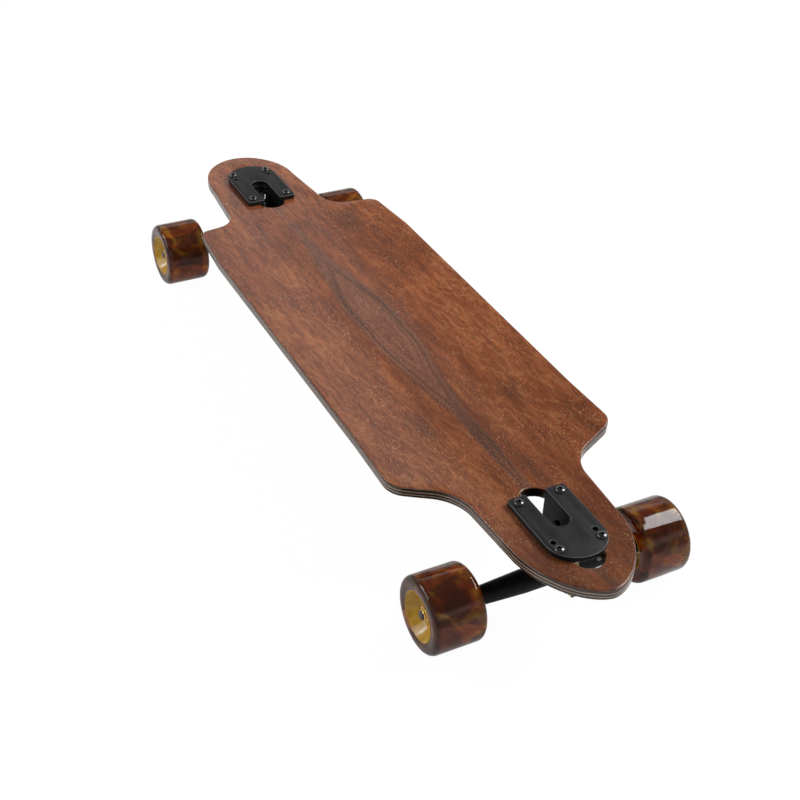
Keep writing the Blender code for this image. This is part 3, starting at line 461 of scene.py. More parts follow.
def veneer_look():
    """Book-matched dark veneer: a long lens between two dark bands, wavy figure outside it, fine flecks, and
    painted shade that darkens it towards the nose.
    """
    look = Look("walnut_veneer", Specular_IOR_Level=0.36)
    ranged, times, mix = look.ranged, look.times, look.mix
    along = look.axis(look.place, "X")
    across = look.math("ABSOLUTE", look.axis(look.place, "Y"))

    def flat(first, second):
        return look.node("ShaderNodeCombineXYZ", {"X": first, "Y": second}).outputs["Vector"]

    def vector(operation, first, second, output="Vector"):
        return look.node("ShaderNodeVectorMath", {0: first, 1: second}, operation=operation).outputs[output]

    def grain(scale, stretch, detail=3.0, turn=0.0, distortion=0.0, where=None):
        return look.noise(scale, detail, look.stretched((*stretch, 1.0), turn, where), 0.55, distortion)

    curve = look.node("ShaderNodeFloatCurve", {"Value": ranged(along, -LENS_REACH, LENS_REACH)})
    points = curve.mapping.curves[0].points
    widths = [((place + LENS_REACH) / (2 * LENS_REACH), half_width / LENS_SCALE)
              for place, half_width in LENS_HALF_WIDTHS]
    for width in widths[1:-1]:
        points.new(*width)
    points[0].location = widths[0]
    points[-1].location = widths[-1]
    curve.mapping.update()

    wander = ranged(grain(8.0, (1.0, 2.0), 4.0), 0.3, 0.7, -0.003, 0.003)
    border = look.math("ADD", times(curve.outputs["Value"], LENS_SCALE), wander)
    beyond = look.math("SUBTRACT", across, border)
    rings = flat(along, beyond)

    patches = grain(7.0, (0.7, 2.0), 4.0, 0.2, 0.9)
    flame = grain(24.0, (0.40, 2.4), 4.0, 0.35, 2.2, flat(along, across))
    outside = look.ramp(look.math("ADD", times(patches, 0.5), times(flame, 0.5)),
                        [(0.36, (0.120, 0.032, 0.012)), (0.46, (0.190, 0.047, 0.015)),
                         (0.54, (0.250, 0.067, 0.021)), (0.65, (0.345, 0.108, 0.038))])
    lines = grain(42.0, (0.12, 6.0), 4.0, 0.0, 0.4, rings)
    inside = look.ramp(lines, [(0.34, (0.085, 0.033, 0.021)), (0.50, (0.190, 0.076, 0.046)),
                               (0.64, (0.330, 0.140, 0.086))])
    lens = ranged(beyond, -0.0025, 0.0025, 1.0, 0.0, smooth=True)
    colour = mix(times(lens, 0.72), outside, inside)
    colour = mix(ranged(lines, 0.50, 0.66, 0.0, 0.35), colour, (0.080, 0.028, 0.013))

    fading = ranged(along, -0.24, -0.10, 0.15, 1.0)
    broken = ranged(grain(26.0, (0.25, 2.5), where=rings), 0.36, 0.60, 0.10, 0.95)
    inward = ranged(beyond, -0.011, -0.0015, 0.1, 0.85, smooth=True)
    band = times(times(fading, broken), times(inward, lens))
    band = times(band, ranged(lines, 0.44, 0.60, 1.0, 0.25))
    colour = mix(band, colour, (0.050, 0.024, 0.016))

    curls = look.node("ShaderNodeTexWave", {"Vector": look.stretched((0.8, 1.9, 1.0), 0.8), "Scale": 14.0,
                                            "Distortion": 12.0, "Detail": 3.0, "Detail Scale": 2.0})
    shine = times(ranged(curls.outputs["Fac"], 0.60, 1.0),
                  ranged(patches, 0.40, 0.62, 0.05, 0.32))
    colour = mix(times(shine, look.math("SUBTRACT", 1.0, lens)), colour, (0.460, 0.180, 0.065))

    for centre in KNOTS:
        squeezed = vector("MULTIPLY", vector("SUBTRACT", look.place, (*centre, 0.0)), (0.55, 1.0, 0.0))
        away = vector("LENGTH", squeezed, (0.0, 0.0, 0.0), "Value")
        ripple = ranged(look.noise(34.0, 3.0, squeezed), 0.3, 0.7, -0.006, 0.006)
        knot = ranged(look.math("ADD", away, ripple), 0.002, 0.018, 0.6, 0.0, smooth=True)
        colour = mix(knot, colour, (0.075, 0.028, 0.013))
    # Painted shade: the veneer darkens towards the nose, and more at its tip, where less light falls.
    colour = mix(ranged(along, -0.10, 0.28, 0.0, 0.32), colour, (0.060, 0.022, 0.012))
    tip = times(ranged(along, 0.27, 0.38, 0.0, 0.70),
                ranged(grain(16.0, (0.5, 1.6)), 0.30, 0.62, 1.0, 0.45))
    colour = mix(tip, colour, (0.055, 0.020, 0.010))

    pores = grain(260.0, (0.45, 2.0), 3.0, 0.3)
    colour = mix(ranged(pores, 0.52, 0.66, 0.0, 0.50), colour, (0.048, 0.018, 0.009))
    flecks = grain(560.0, (0.6, 1.5), 2.0, 0.5)
    crowding = ranged(grain(22.0, (0.7, 1.4)), 0.38, 0.62, 0.15, 1.0)
    gold = times(ranged(flecks, 0.59, 0.68), crowding)
    colour = mix(times(gold, 0.55), colour, (0.58, 0.32, 0.17))

    look.set("Base Color", colour)
    look.set("Roughness", ranged(pores, 0.4, 0.7, 0.17, 0.26))
    look.bump(look.math("SUBTRACT", flecks, pores), 0.00012, 0.5)
    return look.material


def welded(source, scale=1.0):
    """The source object's evaluated mesh, welded and facing out; the source object is removed."""
    depsgraph = bpy.context.evaluated_depsgraph_get()
    mesh = bpy.data.meshes.new_from_object(source.evaluated_get(depsgraph))
    mesh.transform(Matrix.Scale(scale, 4))
    work = bmesh.new()
    work.from_mesh(mesh)
    bmesh.ops.remove_doubles(work, verts=work.verts, dist=MERGE)
    bmesh.ops.recalc_face_normals(work, faces=work.faces)
    work.to_mesh(mesh)
    work.free()
    bpy.data.objects.remove(source, do_unlink=True)
    return mesh


def linked(name, data):
    """A new object in the scene."""
    made = bpy.data.objects.new(name, data)
    bpy.context.scene.collection.objects.link(made)
    return made


def lathe(profile, steps=ROUND_STEPS):
    """A mesh turned round local Z from (radius, height) points, down the outer side first."""
    work = bmesh.new()
    rings = []
    for radius, height in profile:
        count = steps if radius > MERGE else 1
        angles = [2 * math.pi * step / steps for step in range(count)]
        rings.append([work.verts.new((radius * math.cos(a), radius * math.sin(a), height)) for a in angles])
    closed = all(radius > MERGE for radius, height in profile)
    following = rings[1:] + (rings[:1] if closed else [])
    for upper, lower in zip(rings, following):
        for step in range(steps):
            after = step + 1
            corners = [upper[step % len(upper)], lower[step % len(lower)], lower[after % len(lower)],
                       upper[after % len(upper)]]
            corners = list(dict.fromkeys(corners))
            if len(corners) > 2:
                work.faces.new(corners)
    mesh = bpy.data.meshes.new("turned")
    bmesh.ops.recalc_face_normals(work, faces=work.faces)
    work.to_mesh(mesh)
    work.free()
    return mesh


def plate(outlines, low, high, rounding=0.0):
    """A flat plate from height low to high: the first outline is its edge and the others are holes.

    The curve is drawn in millimetres, because Blender's fill loses faces between very near points."""
    curve = bpy.data.curves.new("outline", "CURVE")
    curve.dimensions = "2D"
    curve.fill_mode = "BOTH"
    curve.extrude = ((high - low) / 2 - rounding) / MILLIMETRE
    curve.bevel_depth = rounding / MILLIMETRE
    curve.bevel_resolution = BEVEL_STEPS
    curve.offset = -rounding / MILLIMETRE
    for outline in outlines:
        spline = curve.splines.new("POLY")
        spline.points.add(len(outline) - 1)
        for point, (x, y) in zip(spline.points, outline):
            point.co = (x / MILLIMETRE, y / MILLIMETRE, 0, 1)
        spline.use_cyclic_u = True
    mesh = welded(linked("outline", curve), MILLIMETRE)
    mesh.transform(Matrix.Translation((0, 0, (low + high) / 2)))
    return mesh


def upright_plate(outline, half_width):
    """A plate drawn in the truck's side view, X and Z, and centred on Y."""
    mesh = plate([outline], -half_width, half_width)
    mesh.transform(Matrix.Rotation(math.pi / 2, 4, "X"))
    return mesh


def moved(mesh, matrix):
    mesh.transform(matrix)
    return mesh


def shaped(base, joins=(), cuts=(), common=()):
    """The base mesh united with the joins, less the cuts, and kept only inside the common ones."""
    work = linked("base", base)
    tools = []
    for operation, meshes in (("UNION", joins), ("DIFFERENCE", cuts), ("INTERSECT", common)):
        for mesh in meshes:
            tool = linked("tool", mesh)
            tools.append(tool)
            step = work.modifiers.new(operation.lower(), "BOOLEAN")
            step.operation = operation
            step.object = tool
    result = welded(work)
    for tool in tools:
        bpy.data.objects.remove(tool, do_unlink=True)
    return result


def cast(mesh):
    """The mesh with the soft edges and fillets of a casting."""
    work = linked("cast", mesh)
    remesh = work.modifiers.new("skin", "REMESH")
    remesh.mode = "VOXEL"
    remesh.voxel_size = CAST_VOXEL
    smooth = work.modifiers.new("fillets", "SMOOTH")
    smooth.factor = 0.5
    smooth.iterations = CAST_SMOOTHING
    fewer = work.modifiers.new("fewer", "DECIMATE")
    fewer.ratio = CAST_SHARE_KEPT
    return welded(work)


def cylinder(radius, low, high, steps=ROUND_STEPS):
    return lathe([(0, high), (radius, high), (radius, low), (0, low)], steps)


def hexagon(across_flats, low, high):
    return cylinder(across_flats / 2 * HEX_CORNER, low, high, 6)


def fillet(before, corner, after, radius, steps=ARC_STEPS):
    """Points of an arc that rounds the corner of a path."""
    before, corner, after = Vector(before), Vector(corner), Vector(after)
    towards_before = (before - corner).normalized()
    towards_after = (after - corner).normalized()
    opening = towards_before.angle(towards_after)
    setback = radius / math.tan(opening / 2)
    middle = (towards_before + towards_after).normalized()
    centre = corner + middle * (radius / math.sin(opening / 2))
    start = corner + towards_before * setback - centre
    end = corner + towards_after * setback - centre
    sweep = start.angle_signed(end)
    points = []
    for step in range(steps + 1):
        turn = Matrix.Rotation(-sweep * step / steps, 2)
        points.append(tuple(centre + turn @ start))
    return points


def arc(centre, radius, first, last, steps=ARC_STEPS):
    """Points round a circle, from the first angle to the last, in degrees."""
    angles = [math.radians(first + (last - first) * step / steps) for step in range(steps + 1)]
    return [(centre[0] + radius * math.cos(angle), centre[1] + radius * math.sin(angle)) for angle in angles]


def quarter_turn(steps):
    """Angles from nothing to a right angle."""
    return [math.pi / 2 * step / steps for step in range(steps + 1)]


def mirrored(half):
    """Half of a profile or outline, followed by its mirror image from end to start."""
    return half + [(first, -second) for first, second in reversed(half)]


def piece(name, mesh, looks, place, node, bends=None):
    """Puts a finished mesh where the CAD has its node; it rides on the node's body and stands for it.

    One that bends has its transform baked into its mesh instead and rides on no body; the body and points
    that bends holds are not used."""
    made = linked(name, mesh)
    mesh.transform(place)
    for look in looks:
        mesh.materials.append(look)
    mesh.shade_smooth()
    mesh.set_sharp_from_angle(angle=SHARP_ANGLE)
    if bends:
        BODY_OF[node]
        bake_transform(made)
    else:
        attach(made, BODY_OF[node])
    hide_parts(node)


def deck_quarter(shoulder_half_width, tongue_half_width, tongue_length, roundness):
    """The deck's outline from the end of the parallel rail to the tip, in positive X and Y."""
    rail_end = (SHOULDER_FROM_MIDDLE - SHOULDER_TAPER_LENGTH, DECK_HALF_WIDTH)
    shoulder = (SHOULDER_FROM_MIDDLE, shoulder_half_width)
    neck = (SHOULDER_FROM_MIDDLE + SHOULDER_TO_NECK, NECK_HALF_WIDTH)
    tongue = (DECK_LENGTH / 2 - tongue_length, tongue_half_width)
    points = [rail_end]
    points += fillet(rail_end, shoulder, neck, SHOULDER_RADIUS)
    points += fillet(shoulder, neck, tongue, NECK_RADIUS)
    for angle in quarter_turn(4 * ARC_STEPS):
        reach = tongue_length * math.sin(angle) ** (2 / roundness)
        across = tongue_half_width * max(math.cos(angle), 0) ** (2 / roundness)
        points.append((tongue[0] + reach, across))
    return points


def deck_outline():
    nose = deck_quarter(*NOSE_SHAPE)
    tail = deck_quarter(*TAIL_SHAPE)
    right_nose = [(x, -y) for x, y in nose]
    left_tail = [(-x, y) for x, y in tail]
    right_tail = [(-x, -y) for x, y in tail]
    clockwise = nose + right_nose[-2::-1] + right_tail + left_tail[-2::-1]
    return clockwise[::-1]


def slot_outline(low, high, half_width):
    """A slot along X with half-round ends, drawn clockwise as holes are."""
    outboard = arc((high - half_width, 0), half_width, -90, 90)
    inboard = arc((low + half_width, 0), half_width, 90, 270)
    return (outboard + inboard)[::-1]


def bolt_places():
    x = BOLT_PATTERN_LENGTH / 2
    y = BOLT_PATTERN_WIDTH / 2
    return [(-x, y), (-x, -y), (x, y), (x, -y)]


def concave_lift(across):
    """How far the pressed deck rises at this distance from the centre line."""
    beyond = max(0.0, abs(across) - FLAT_HALF_WIDTH) / (DECK_HALF_WIDTH - FLAT_HALF_WIDTH)
    return RAIL_RISE * beyond ** CONCAVE_POWER


def cut_across(work, count, spacing, normal):
    for index in range(-count, count + 1):
        everything = work.verts[:] + work.edges[:] + work.faces[:]
        bmesh.ops.bisect_plane(work, geom=everything, dist=MERGE, plane_co=Vector(normal) * spacing * index,
                               plane_no=normal)


def deck_mesh():
    """The pressed deck, its first material the veneer and its second the plies of its edges."""
    outlines = [deck_outline()]
    for end in (1, -1):
        slot = slot_outline(-DECK_SLOT_INBOARD_REACH, DECK_SLOT_OUTBOARD_REACH, DECK_SLOT_HALF_WIDTH)
        outlines.append([(end * (x + TRUCK_FROM_MIDDLE), end * y) for x, y in slot])
        for x, y in bolt_places():
            centre = (end * (x + TRUCK_FROM_MIDDLE), end * y)
            outlines.append(arc(centre, BOLT_HOLE_RADIUS, 360, 360 / ARC_STEPS, ARC_STEPS - 1))
    mesh = plate(outlines, -DECK_THICKNESS, 0, DECK_ROUNDING)
    work = bmesh.new()
    work.from_mesh(mesh)
    cut_across(work, int(NOSE_SHAPE[0] / STRIP_ACROSS), STRIP_ACROSS, (0, 1, 0))
    cut_across(work, int(DECK_LENGTH / 2 / STRIP_ALONG), STRIP_ALONG, (1, 0, 0))
    work.normal_update()
    depth = work.verts.layers.float.new("depth")
    for face in work.faces:
        face.material_index = 0 if abs(face.normal.z) > 0.5 else 1
    for vert in work.verts:
        vert[depth] = -vert.co.z
        vert.co.z += concave_lift(vert.co.y)
    work.to_mesh(mesh)
    work.free()
    return mesh


def on_steering(reach, across):
    """A point of the truck's side view: reach runs from the ring centre down the steering axis to the
    pivot, and across runs along the kingpin towards its nut."""
    x = RING_OUTBOARD - TILT_COS * reach + TILT_SIN * across
    z = -RING_DEPTH - TILT_SIN * reach - TILT_COS * across
    return (x, z)


KINGPIN_TURN = math.pi - STEERING_AXIS_TILT
RING_CENTRE = Matrix.Translation((RING_OUTBOARD, 0, -RING_DEPTH))
AXLE_SIDE_VIEW = on_steering(AXLE_REACH, AXLE_RAKE)
KINGPIN_FRAME = RING_CENTRE @ Matrix.Rotation(KINGPIN_TURN, 4, "Y")
FLIPPED_KINGPIN_FRAME = RING_CENTRE @ Matrix.Rotation(KINGPIN_TURN + math.pi, 4, "Y")
PIVOT_FRAME = RING_CENTRE @ Matrix.Rotation(KINGPIN_TURN + math.pi / 2, 4, "Y")
AXLE_FRAME = Matrix.Translation((AXLE_SIDE_VIEW[0], 0, AXLE_SIDE_VIEW[1]))
AXLE_FRAME = AXLE_FRAME @ Matrix.Rotation(-math.pi / 2, 4, "X")


def flange_mesh():
    """The baseplate's flat flange: round outboard, with a slot that opens inboard, and its bolt holes."""
    straight_end = FLANGE_OUTBOARD_REACH - FLANGE_ROUND_LENGTH
    inboard = -FLANGE_INBOARD_REACH
    half = FLANGE_HALF_WIDTH
    slot_half = TOWER_HALF_WIDTH - TOWER_WALL
    slot_centre = FLANGE_SLOT_END - slot_half
    unit_round = arc((0, 0), 1, -90, 90, 2 * ARC_STEPS)
    points = [(straight_end + FLANGE_ROUND_LENGTH * x, half * y) for x, y in unit_round]
    points += fillet((straight_end, half), (inboard, half), (inboard, slot_half), FLANGE_CORNER_RADIUS)
    points += fillet((inboard, half), (inboard, slot_half), (slot_centre, slot_half), SLOT_MOUTH_RADIUS)
    points += arc((slot_centre, 0), slot_half, 90, -90, 2 * ARC_STEPS)
    points += fillet((slot_centre, -slot_half), (inboard, -slot_half), (inboard, -half), SLOT_MOUTH_RADIUS)
    points += fillet((inboard, -slot_half), (inboard, -half), (straight_end, -half), FLANGE_CORNER_RADIUS)
    outlines = [points]
    short_pattern_x = SHORT_BOLT_PATTERN_LENGTH - BOLT_PATTERN_LENGTH / 2
    half_width = BOLT_PATTERN_WIDTH / 2
    for x, y in bolt_places() + [(short_pattern_x, half_width), (short_pattern_x, -half_width)]:
        outlines.append(arc((x, y), BOLT_HOLE_RADIUS, 360, 15, 23))
    return plate(outlines, -FLANGE_THICKNESS, 0, FLANGE_ROUNDING)


def tower_outline():
    """The side view of the tower below the flange: a wedge from the flange to the pivot boss."""
    seat_top = on_steering(-BUSHING_RADIUS, -BOARDSIDE_STACK)
    boss_back = on_steering(BOSS_END - BOSS_WALL, TOWER_INSET - BOSS_RADIUS)
    return [
        (-TOWER_INBOARD_REACH, -TOWER_TOP_DEPTH),
        (-TOWER_INBOARD_REACH, boss_back[1] + TOWER_BACK_SLANT),
        boss_back,
        on_steering(BOSS_END - BOSS_WALL, 0),
        on_steering(BOSS_START + BOSS_WALL, 0),
        on_steering(BOSS_START + BOSS_WALL, TOWER_INSET - BOSS_RADIUS),
        on_steering(BOSS_START, -TOWER_INSET - BOSS_RADIUS),
        on_steering(BUSHING_RADIUS + SEAT_MARGIN, -BOARDSIDE_STACK),
        seat_top,
        (seat_top[0] + TOWER_FRONT_SLANT, -FLANGE_THICKNESS),
        (seat_top[0] + TOWER_FRONT_SLANT, -TOWER_TOP_DEPTH),
    ]


def channel_outline():
    """The side view of the channel between the tower's two walls, open to the flange's slot and inboard."""
    outside = -TOWER_INBOARD_REACH - OVERRUN
    tunnel_top = on_steering(-BUSHING_RADIUS, -SEAT_BACK)
    boss_side = on_steering(BOSS_START - BOSS_WALL, -BOSS_RADIUS - TOWER_WALL)
    return [
        (outside, 0),
        (tunnel_top[0], 0),
        tunnel_top,
        on_steering(BUSHING_RADIUS + CHANNEL_MARGIN, -SEAT_BACK),
        boss_side,
        (outside, boss_side[1]),
    ]


def tower_mesh():
    """The tower and its pivot boss. Its walls line the flange's slot, and its pocket deepens the slot."""
    slot_half = TOWER_HALF_WIDTH - TOWER_WALL - SLOT_LINING
    tower = upright_plate(tower_outline(), TOWER_HALF_WIDTH)
    boss = moved(cylinder(BOSS_RADIUS, BOSS_START, BOSS_END), PIVOT_FRAME)
    channel = upright_plate(channel_outline(), slot_half)
    inboard = -TOWER_INBOARD_REACH - OVERRUN
    mouth = plate([slot_outline(inboard, FLANGE_SLOT_END - SLOT_LINING, slot_half)], -SLOT_LEDGE_DEPTH, 0)
    pocket = plate([slot_outline(inboard, POCKET_END, slot_half)], -POCKET_DEPTH, 0)
    kingpin_hole = cylinder(KINGPIN_RADIUS + GAP, -SEAT_BACK - OVERRUN, 0)
    cup_bore = cylinder(CUP_RADIUS + GAP, BOSS_START - OVERRUN, CUP_END + GAP)
    cuts = [channel, mouth, pocket, moved(kingpin_hole, KINGPIN_FRAME), moved(cup_bore, PIVOT_FRAME)]
    return cast(shaped(tower, joins=[boss], cuts=cuts))


def hanger_mesh():
    """The cast hanger: bushing ring, yoke, barrel and pivot pin."""
    seat_radius = BUSHING_RADIUS + GAP + BUSHING_WAIST
    floor = RING_HALF_THICKNESS - BUSHING_SEAT_DEPTH
    face = RING_HALF_THICKNESS
    ring_profile = [(RING_RADIUS, face), (RING_RADIUS, -face), (seat_radius, -face), (seat_radius, -floor),
                    (RING_HOLE_RADIUS, -floor), (RING_HOLE_RADIUS, floor), (seat_radius, floor),
                    (seat_radius, face)]
    ring = moved(lathe(ring_profile, WHEEL_STEPS), KINGPIN_FRAME)
    half = HANGER_WIDTH / 2
    barrel_profile = [(0, half), (HANGER_END_RADIUS, half), (HANGER_END_RADIUS, BARREL_TAPER_END),
                      (HANGER_BARREL_RADIUS, BARREL_HALF_LENGTH)]
    barrel = moved(lathe(mirrored(barrel_profile)), AXLE_FRAME)
    wrap_radius = (RING_RADIUS + seat_radius) / 2
    yoke_outline = mirrored([(YOKE_WAIST_ALONG, YOKE_WAIST_HALF_WIDTH),
                             (AXLE_REACH - YOKE_EDGE_HALF_WIDTH, YOKE_HALF_WIDTH),
                             (AXLE_REACH + YOKE_EDGE_HALF_WIDTH, YOKE_HALF_WIDTH)])
    yoke_outline += arc((0, 0), wrap_radius, -YOKE_WRAP_DEGREES, YOKE_WRAP_DEGREES, 2 * ARC_STEPS)
    yoke = moved(plate([yoke_outline], -YOKE_THICKNESS / 2, YOKE_THICKNESS / 2), KINGPIN_FRAME)
    pin_profile = []
    for angle in quarter_turn(ARC_STEPS):
        height = PIVOT_END - PIVOT_TIP_RADIUS * (1 - math.cos(angle))
        pin_profile.append((PIVOT_TIP_RADIUS * math.sin(angle), height))
    pin_profile += [(PIVOT_TIP_RADIUS, BOSS_START), (PIVOT_ROOT_RADIUS, BOSS_START - PIVOT_CLEARANCE),
                    (PIVOT_ROOT_RADIUS, AXLE_REACH), (0, AXLE_REACH)]
    pin = moved(lathe(pin_profile), PIVOT_FRAME)
    bore = moved(cylinder(AXLE_RADIUS + GAP, -half - OVERRUN, half + OVERRUN), AXLE_FRAME)
    return cast(shaped(ring, joins=[yoke, barrel, pin], cuts=[bore]))


def threaded(radius, start, end):
    """Profile points of a thread, from the end of a shaft down to the start."""
    points = [(0, end), (radius - THREAD_DEPTH, end)]
    height = end - THREAD_DEPTH
    while height - THREAD_PITCH > start:
        points += [(radius, height), (radius - THREAD_DEPTH, height - THREAD_PITCH / 2)]
        height -= THREAD_PITCH
    points.append((radius, height))
    return points


def kingpin_mesh():
    nut_end = ROADSIDE_STACK + GAP + KINGPIN_NUT_HEIGHT + KINGPIN_THREAD_SHOWN
    head_top = -SEAT_BACK - GAP
    profile = threaded(KINGPIN_RADIUS, ROADSIDE_STACK - WASHER_THICKNESS, nut_end)
    profile += [(KINGPIN_RADIUS, head_top), (0, head_top)]
    head = chamfered_hexagon(KINGPIN_ACROSS_FLATS, head_top - KINGPIN_HEAD_HEIGHT, head_top)
    return shaped(head, joins=[lathe(profile, SMALL_STEPS)])


def chamfered_hexagon(across_flats, low, high):
    """A hexagon whose corners are turned off at both ends, as on a nut."""
    flat = across_flats / 2
    corner = flat * HEX_CORNER
    drop = (corner - flat) * NUT_CHAMFER_SHARE
    face = flat * NUT_FACE_SHARE
    dome = [(0, high), (face, high), (corner, high - drop), (corner, low + drop), (face, low), (0, low)]
    return shaped(hexagon(across_flats, low, high), common=[lathe(dome, SMALL_STEPS)])


def lock_nut_mesh(across_flats, bore, height):
    """A nut with a round collar over its nylon ring."""
    flat = across_flats / 2
    body_top = height * NUT_BODY_SHARE
    body = chamfered_hexagon(across_flats, 0, body_top)
    foot = body_top - flat * 0.2
    collar = lathe([(0, height), (flat * COLLAR_FACE_SHARE, height),
                    (flat * COLLAR_EDGE_SHARE, height - flat * 0.1), (flat * COLLAR_FOOT_SHARE, foot),
                    (0, foot)], SMALL_STEPS)
    return shaped(body, joins=[collar], cuts=[cylinder(bore, -OVERRUN, height + OVERRUN, SMALL_STEPS)])


def washer_mesh(radius, low):
    """A washer of the kingpin's, its outer edges rounded."""
    high = low + WASHER_THICKNESS
    bore = KINGPIN_RADIUS + GAP
    points = [(bore, high)]
    points += fillet((bore, high), (radius, high), (radius, low), WASHER_ROUNDING, 4)
    points += fillet((radius, high), (radius, low), (bore, low), WASHER_ROUNDING, 4)
    points.append((bore, low))
    return lathe(points)


def bushing_mesh(near, far, far_radius):
    """A urethane bushing between two heights, drawn in a little between them. Its bore widens to the
    hanger's ring, so that it clears the kingpin when the hanger leans."""
    bore = KINGPIN_RADIUS + GAP
    points = [(bore, far)]
    points += fillet((bore, far), (far_radius, far), (far_radius, near), BUSHING_EDGE, 4)
    sides = 8
    for step in range(1, sides):
        share = step / sides
        straight = far_radius + (BUSHING_RADIUS - far_radius) * share
        height = far + (near - far) * share
        if near + BUSHING_EDGE < height < far - BUSHING_EDGE:
            points.append((straight - BUSHING_WAIST * math.sin(math.pi * share), height))
    points += fillet((BUSHING_RADIUS, far), (BUSHING_RADIUS, near), (bore, near), BUSHING_EDGE, 4)
    points += [(radius, near + (far - near) * share) for share, radius in BUSHING_BORE]
    return lathe(points)


def axle_mesh():
    """The axle with its threaded ends, speed rings and bearing spacers, turned round local Z."""
    inner_ring = HANGER_WIDTH / 2 + GAP
    spacer_start = INNER_BEARING_START + BEARING_WIDTH + GAP
    spacer_end = spacer_start + BEARING_SPACING - 2 * GAP
    ring_end = OUTER_RING_START + SPEED_RING_THICKNESS
    upper = threaded(AXLE_RADIUS, ring_end, AXLE_END)
    for low, high in ((OUTER_RING_START, ring_end), (spacer_start, spacer_end),
                      (inner_ring, inner_ring + SPEED_RING_THICKNESS)):
        upper += [(AXLE_RADIUS, high), (SPEED_RING_RADIUS, high), (SPEED_RING_RADIUS, low),
                  (AXLE_RADIUS, low)]
    return lathe(mirrored(upper), SMALL_STEPS)


def tyre_mesh():
    """The urethane tyre: flat tread, round lips, and faces that meet the core's flare on both sides."""
    half = WHEEL_WIDTH / 2
    tread = TREAD_WIDTH / 2
    bore = CORE_RADIUS + GAP
    flare = CORE_FLARE_RADIUS + CORE_FLARE_WALL + GAP
    flare_half = CORE_FLARE_WIDTH / 2
    crest = fillet((flare, flare_half), (CREST_RADIUS, half), (LIP_RADIUS, half), CREST_ROUNDING, 5)
    upper = [(bore, CORE_WIDTH / 2 - CORE_RIM_WIDTH), (flare, flare_half)] + crest
    for angle in quarter_turn(10)[1:]:
        radius = LIP_RADIUS + (WHEEL_RADIUS - LIP_RADIUS) * math.sin(angle)
        upper.append((radius, tread + (half - tread) * math.cos(angle)))
    return lathe(mirrored(upper), WHEEL_STEPS)


def core_mesh():
    """The moulded core: two flared faces and a hub, with ribs between them that show through the tyre."""
    half = CORE_WIDTH / 2
    bore = BEARING_RADIUS + GAP
    inner = BEARING_SPACING / 2 - GAP
    rim = half - CORE_RIM_WIDTH
    flare_half = CORE_FLARE_WIDTH / 2
    lip = CORE_FLARE_WALL / 2
    low = half - CORE_SEAT_EDGE
    face = [(CORE_SHOULDER_RADIUS, inner), (bore, inner), (bore, half), (bore + CORE_SEAT_WALL, half),
            (bore + CORE_SEAT_WALL + CORE_SEAT_EDGE, low)]
    face += fillet((bore, low), (CORE_FACE_RADIUS, low), (CORE_FLARE_RADIUS, flare_half),
                   CORE_FACE_ROUNDING, 6)
    face += arc((CORE_FLARE_RADIUS + lip, flare_half), lip, 150, 0, 4)
    face += [(CORE_RADIUS, rim + CORE_RIM_STEP), (CORE_RADIUS, rim), (CORE_HUB_RADIUS, rim)]
    start = CORE_HUB_RADIUS - CORE_RIM_STEP
    end = CORE_RADIUS - GAP
    rib_outline = mirrored([(start, -CORE_RIB_HALF_WIDTH), (end, -CORE_RIB_HALF_WIDTH)])
    ribs = []
    for index in range(CORE_RIB_COUNT):
        rib = plate([rib_outline], -rim - GAP, rim + GAP)
        ribs.append(moved(rib, Matrix.Rotation(2 * math.pi * index / CORE_RIB_COUNT, 4, "Z")))
    return shaped(lathe(mirrored(face), WHEEL_STEPS), joins=ribs)


def bearing_mesh():
    """A ball bearing: bright outer and inner rings and a shield set a little below their faces."""
    half = BEARING_WIDTH / 2
    bore = AXLE_RADIUS + GAP
    outer_land = BEARING_RADIUS - OUTER_RING_WALL
    inner_land = bore + INNER_RING_WALL
    shield = half - SHIELD_RECESS
    upper = [(bore, half), (inner_land - RING_EDGE, half), (inner_land, half - RING_EDGE),
             (inner_land, shield - SHIELD_EDGE), (inner_land + 2 * RING_EDGE, shield - SHIELD_EDGE),
             (inner_land + 2 * SHIELD_EDGE, shield), (outer_land - 2 * SHIELD_EDGE, shield),
             (outer_land - 2 * RING_EDGE, shield + RING_EDGE), (outer_land, shield + RING_EDGE),
             (outer_land, half - RING_EDGE), (outer_land + RING_EDGE, half),
             (BEARING_RADIUS - SHIELD_EDGE, half), (BEARING_RADIUS, half - SHIELD_EDGE)]
    return lathe(mirrored(upper), WHEEL_STEPS)


def deck_bolt_mesh():
    """A button-head bolt with a hexagon socket."""
    shank = BOLT_DIAMETER / 2
    profile = []
    for angle in quarter_turn(8):
        across = BOLT_HEAD_RADIUS * math.sin(angle) ** 0.85
        profile.append((across, GAP + BOLT_HEAD_HEIGHT * math.cos(angle) ** 0.8))
    profile[-1] = (BOLT_HEAD_RADIUS, GAP)
    profile += [(shank, GAP), (shank, -BOLT_LENGTH), (0, -BOLT_LENGTH)]
    top = GAP + BOLT_HEAD_HEIGHT
    socket = hexagon(BOLT_SOCKET_ACROSS_FLATS, top - BOLT_SOCKET_DEPTH, top + OVERRUN)
    return shaped(lathe(profile, SMALL_STEPS), cuts=[socket])


CAST = cast_look("black_cast_coat", (0.0085, 0.0085, 0.009), 0.24, (0.13, 0.13, 0.135))
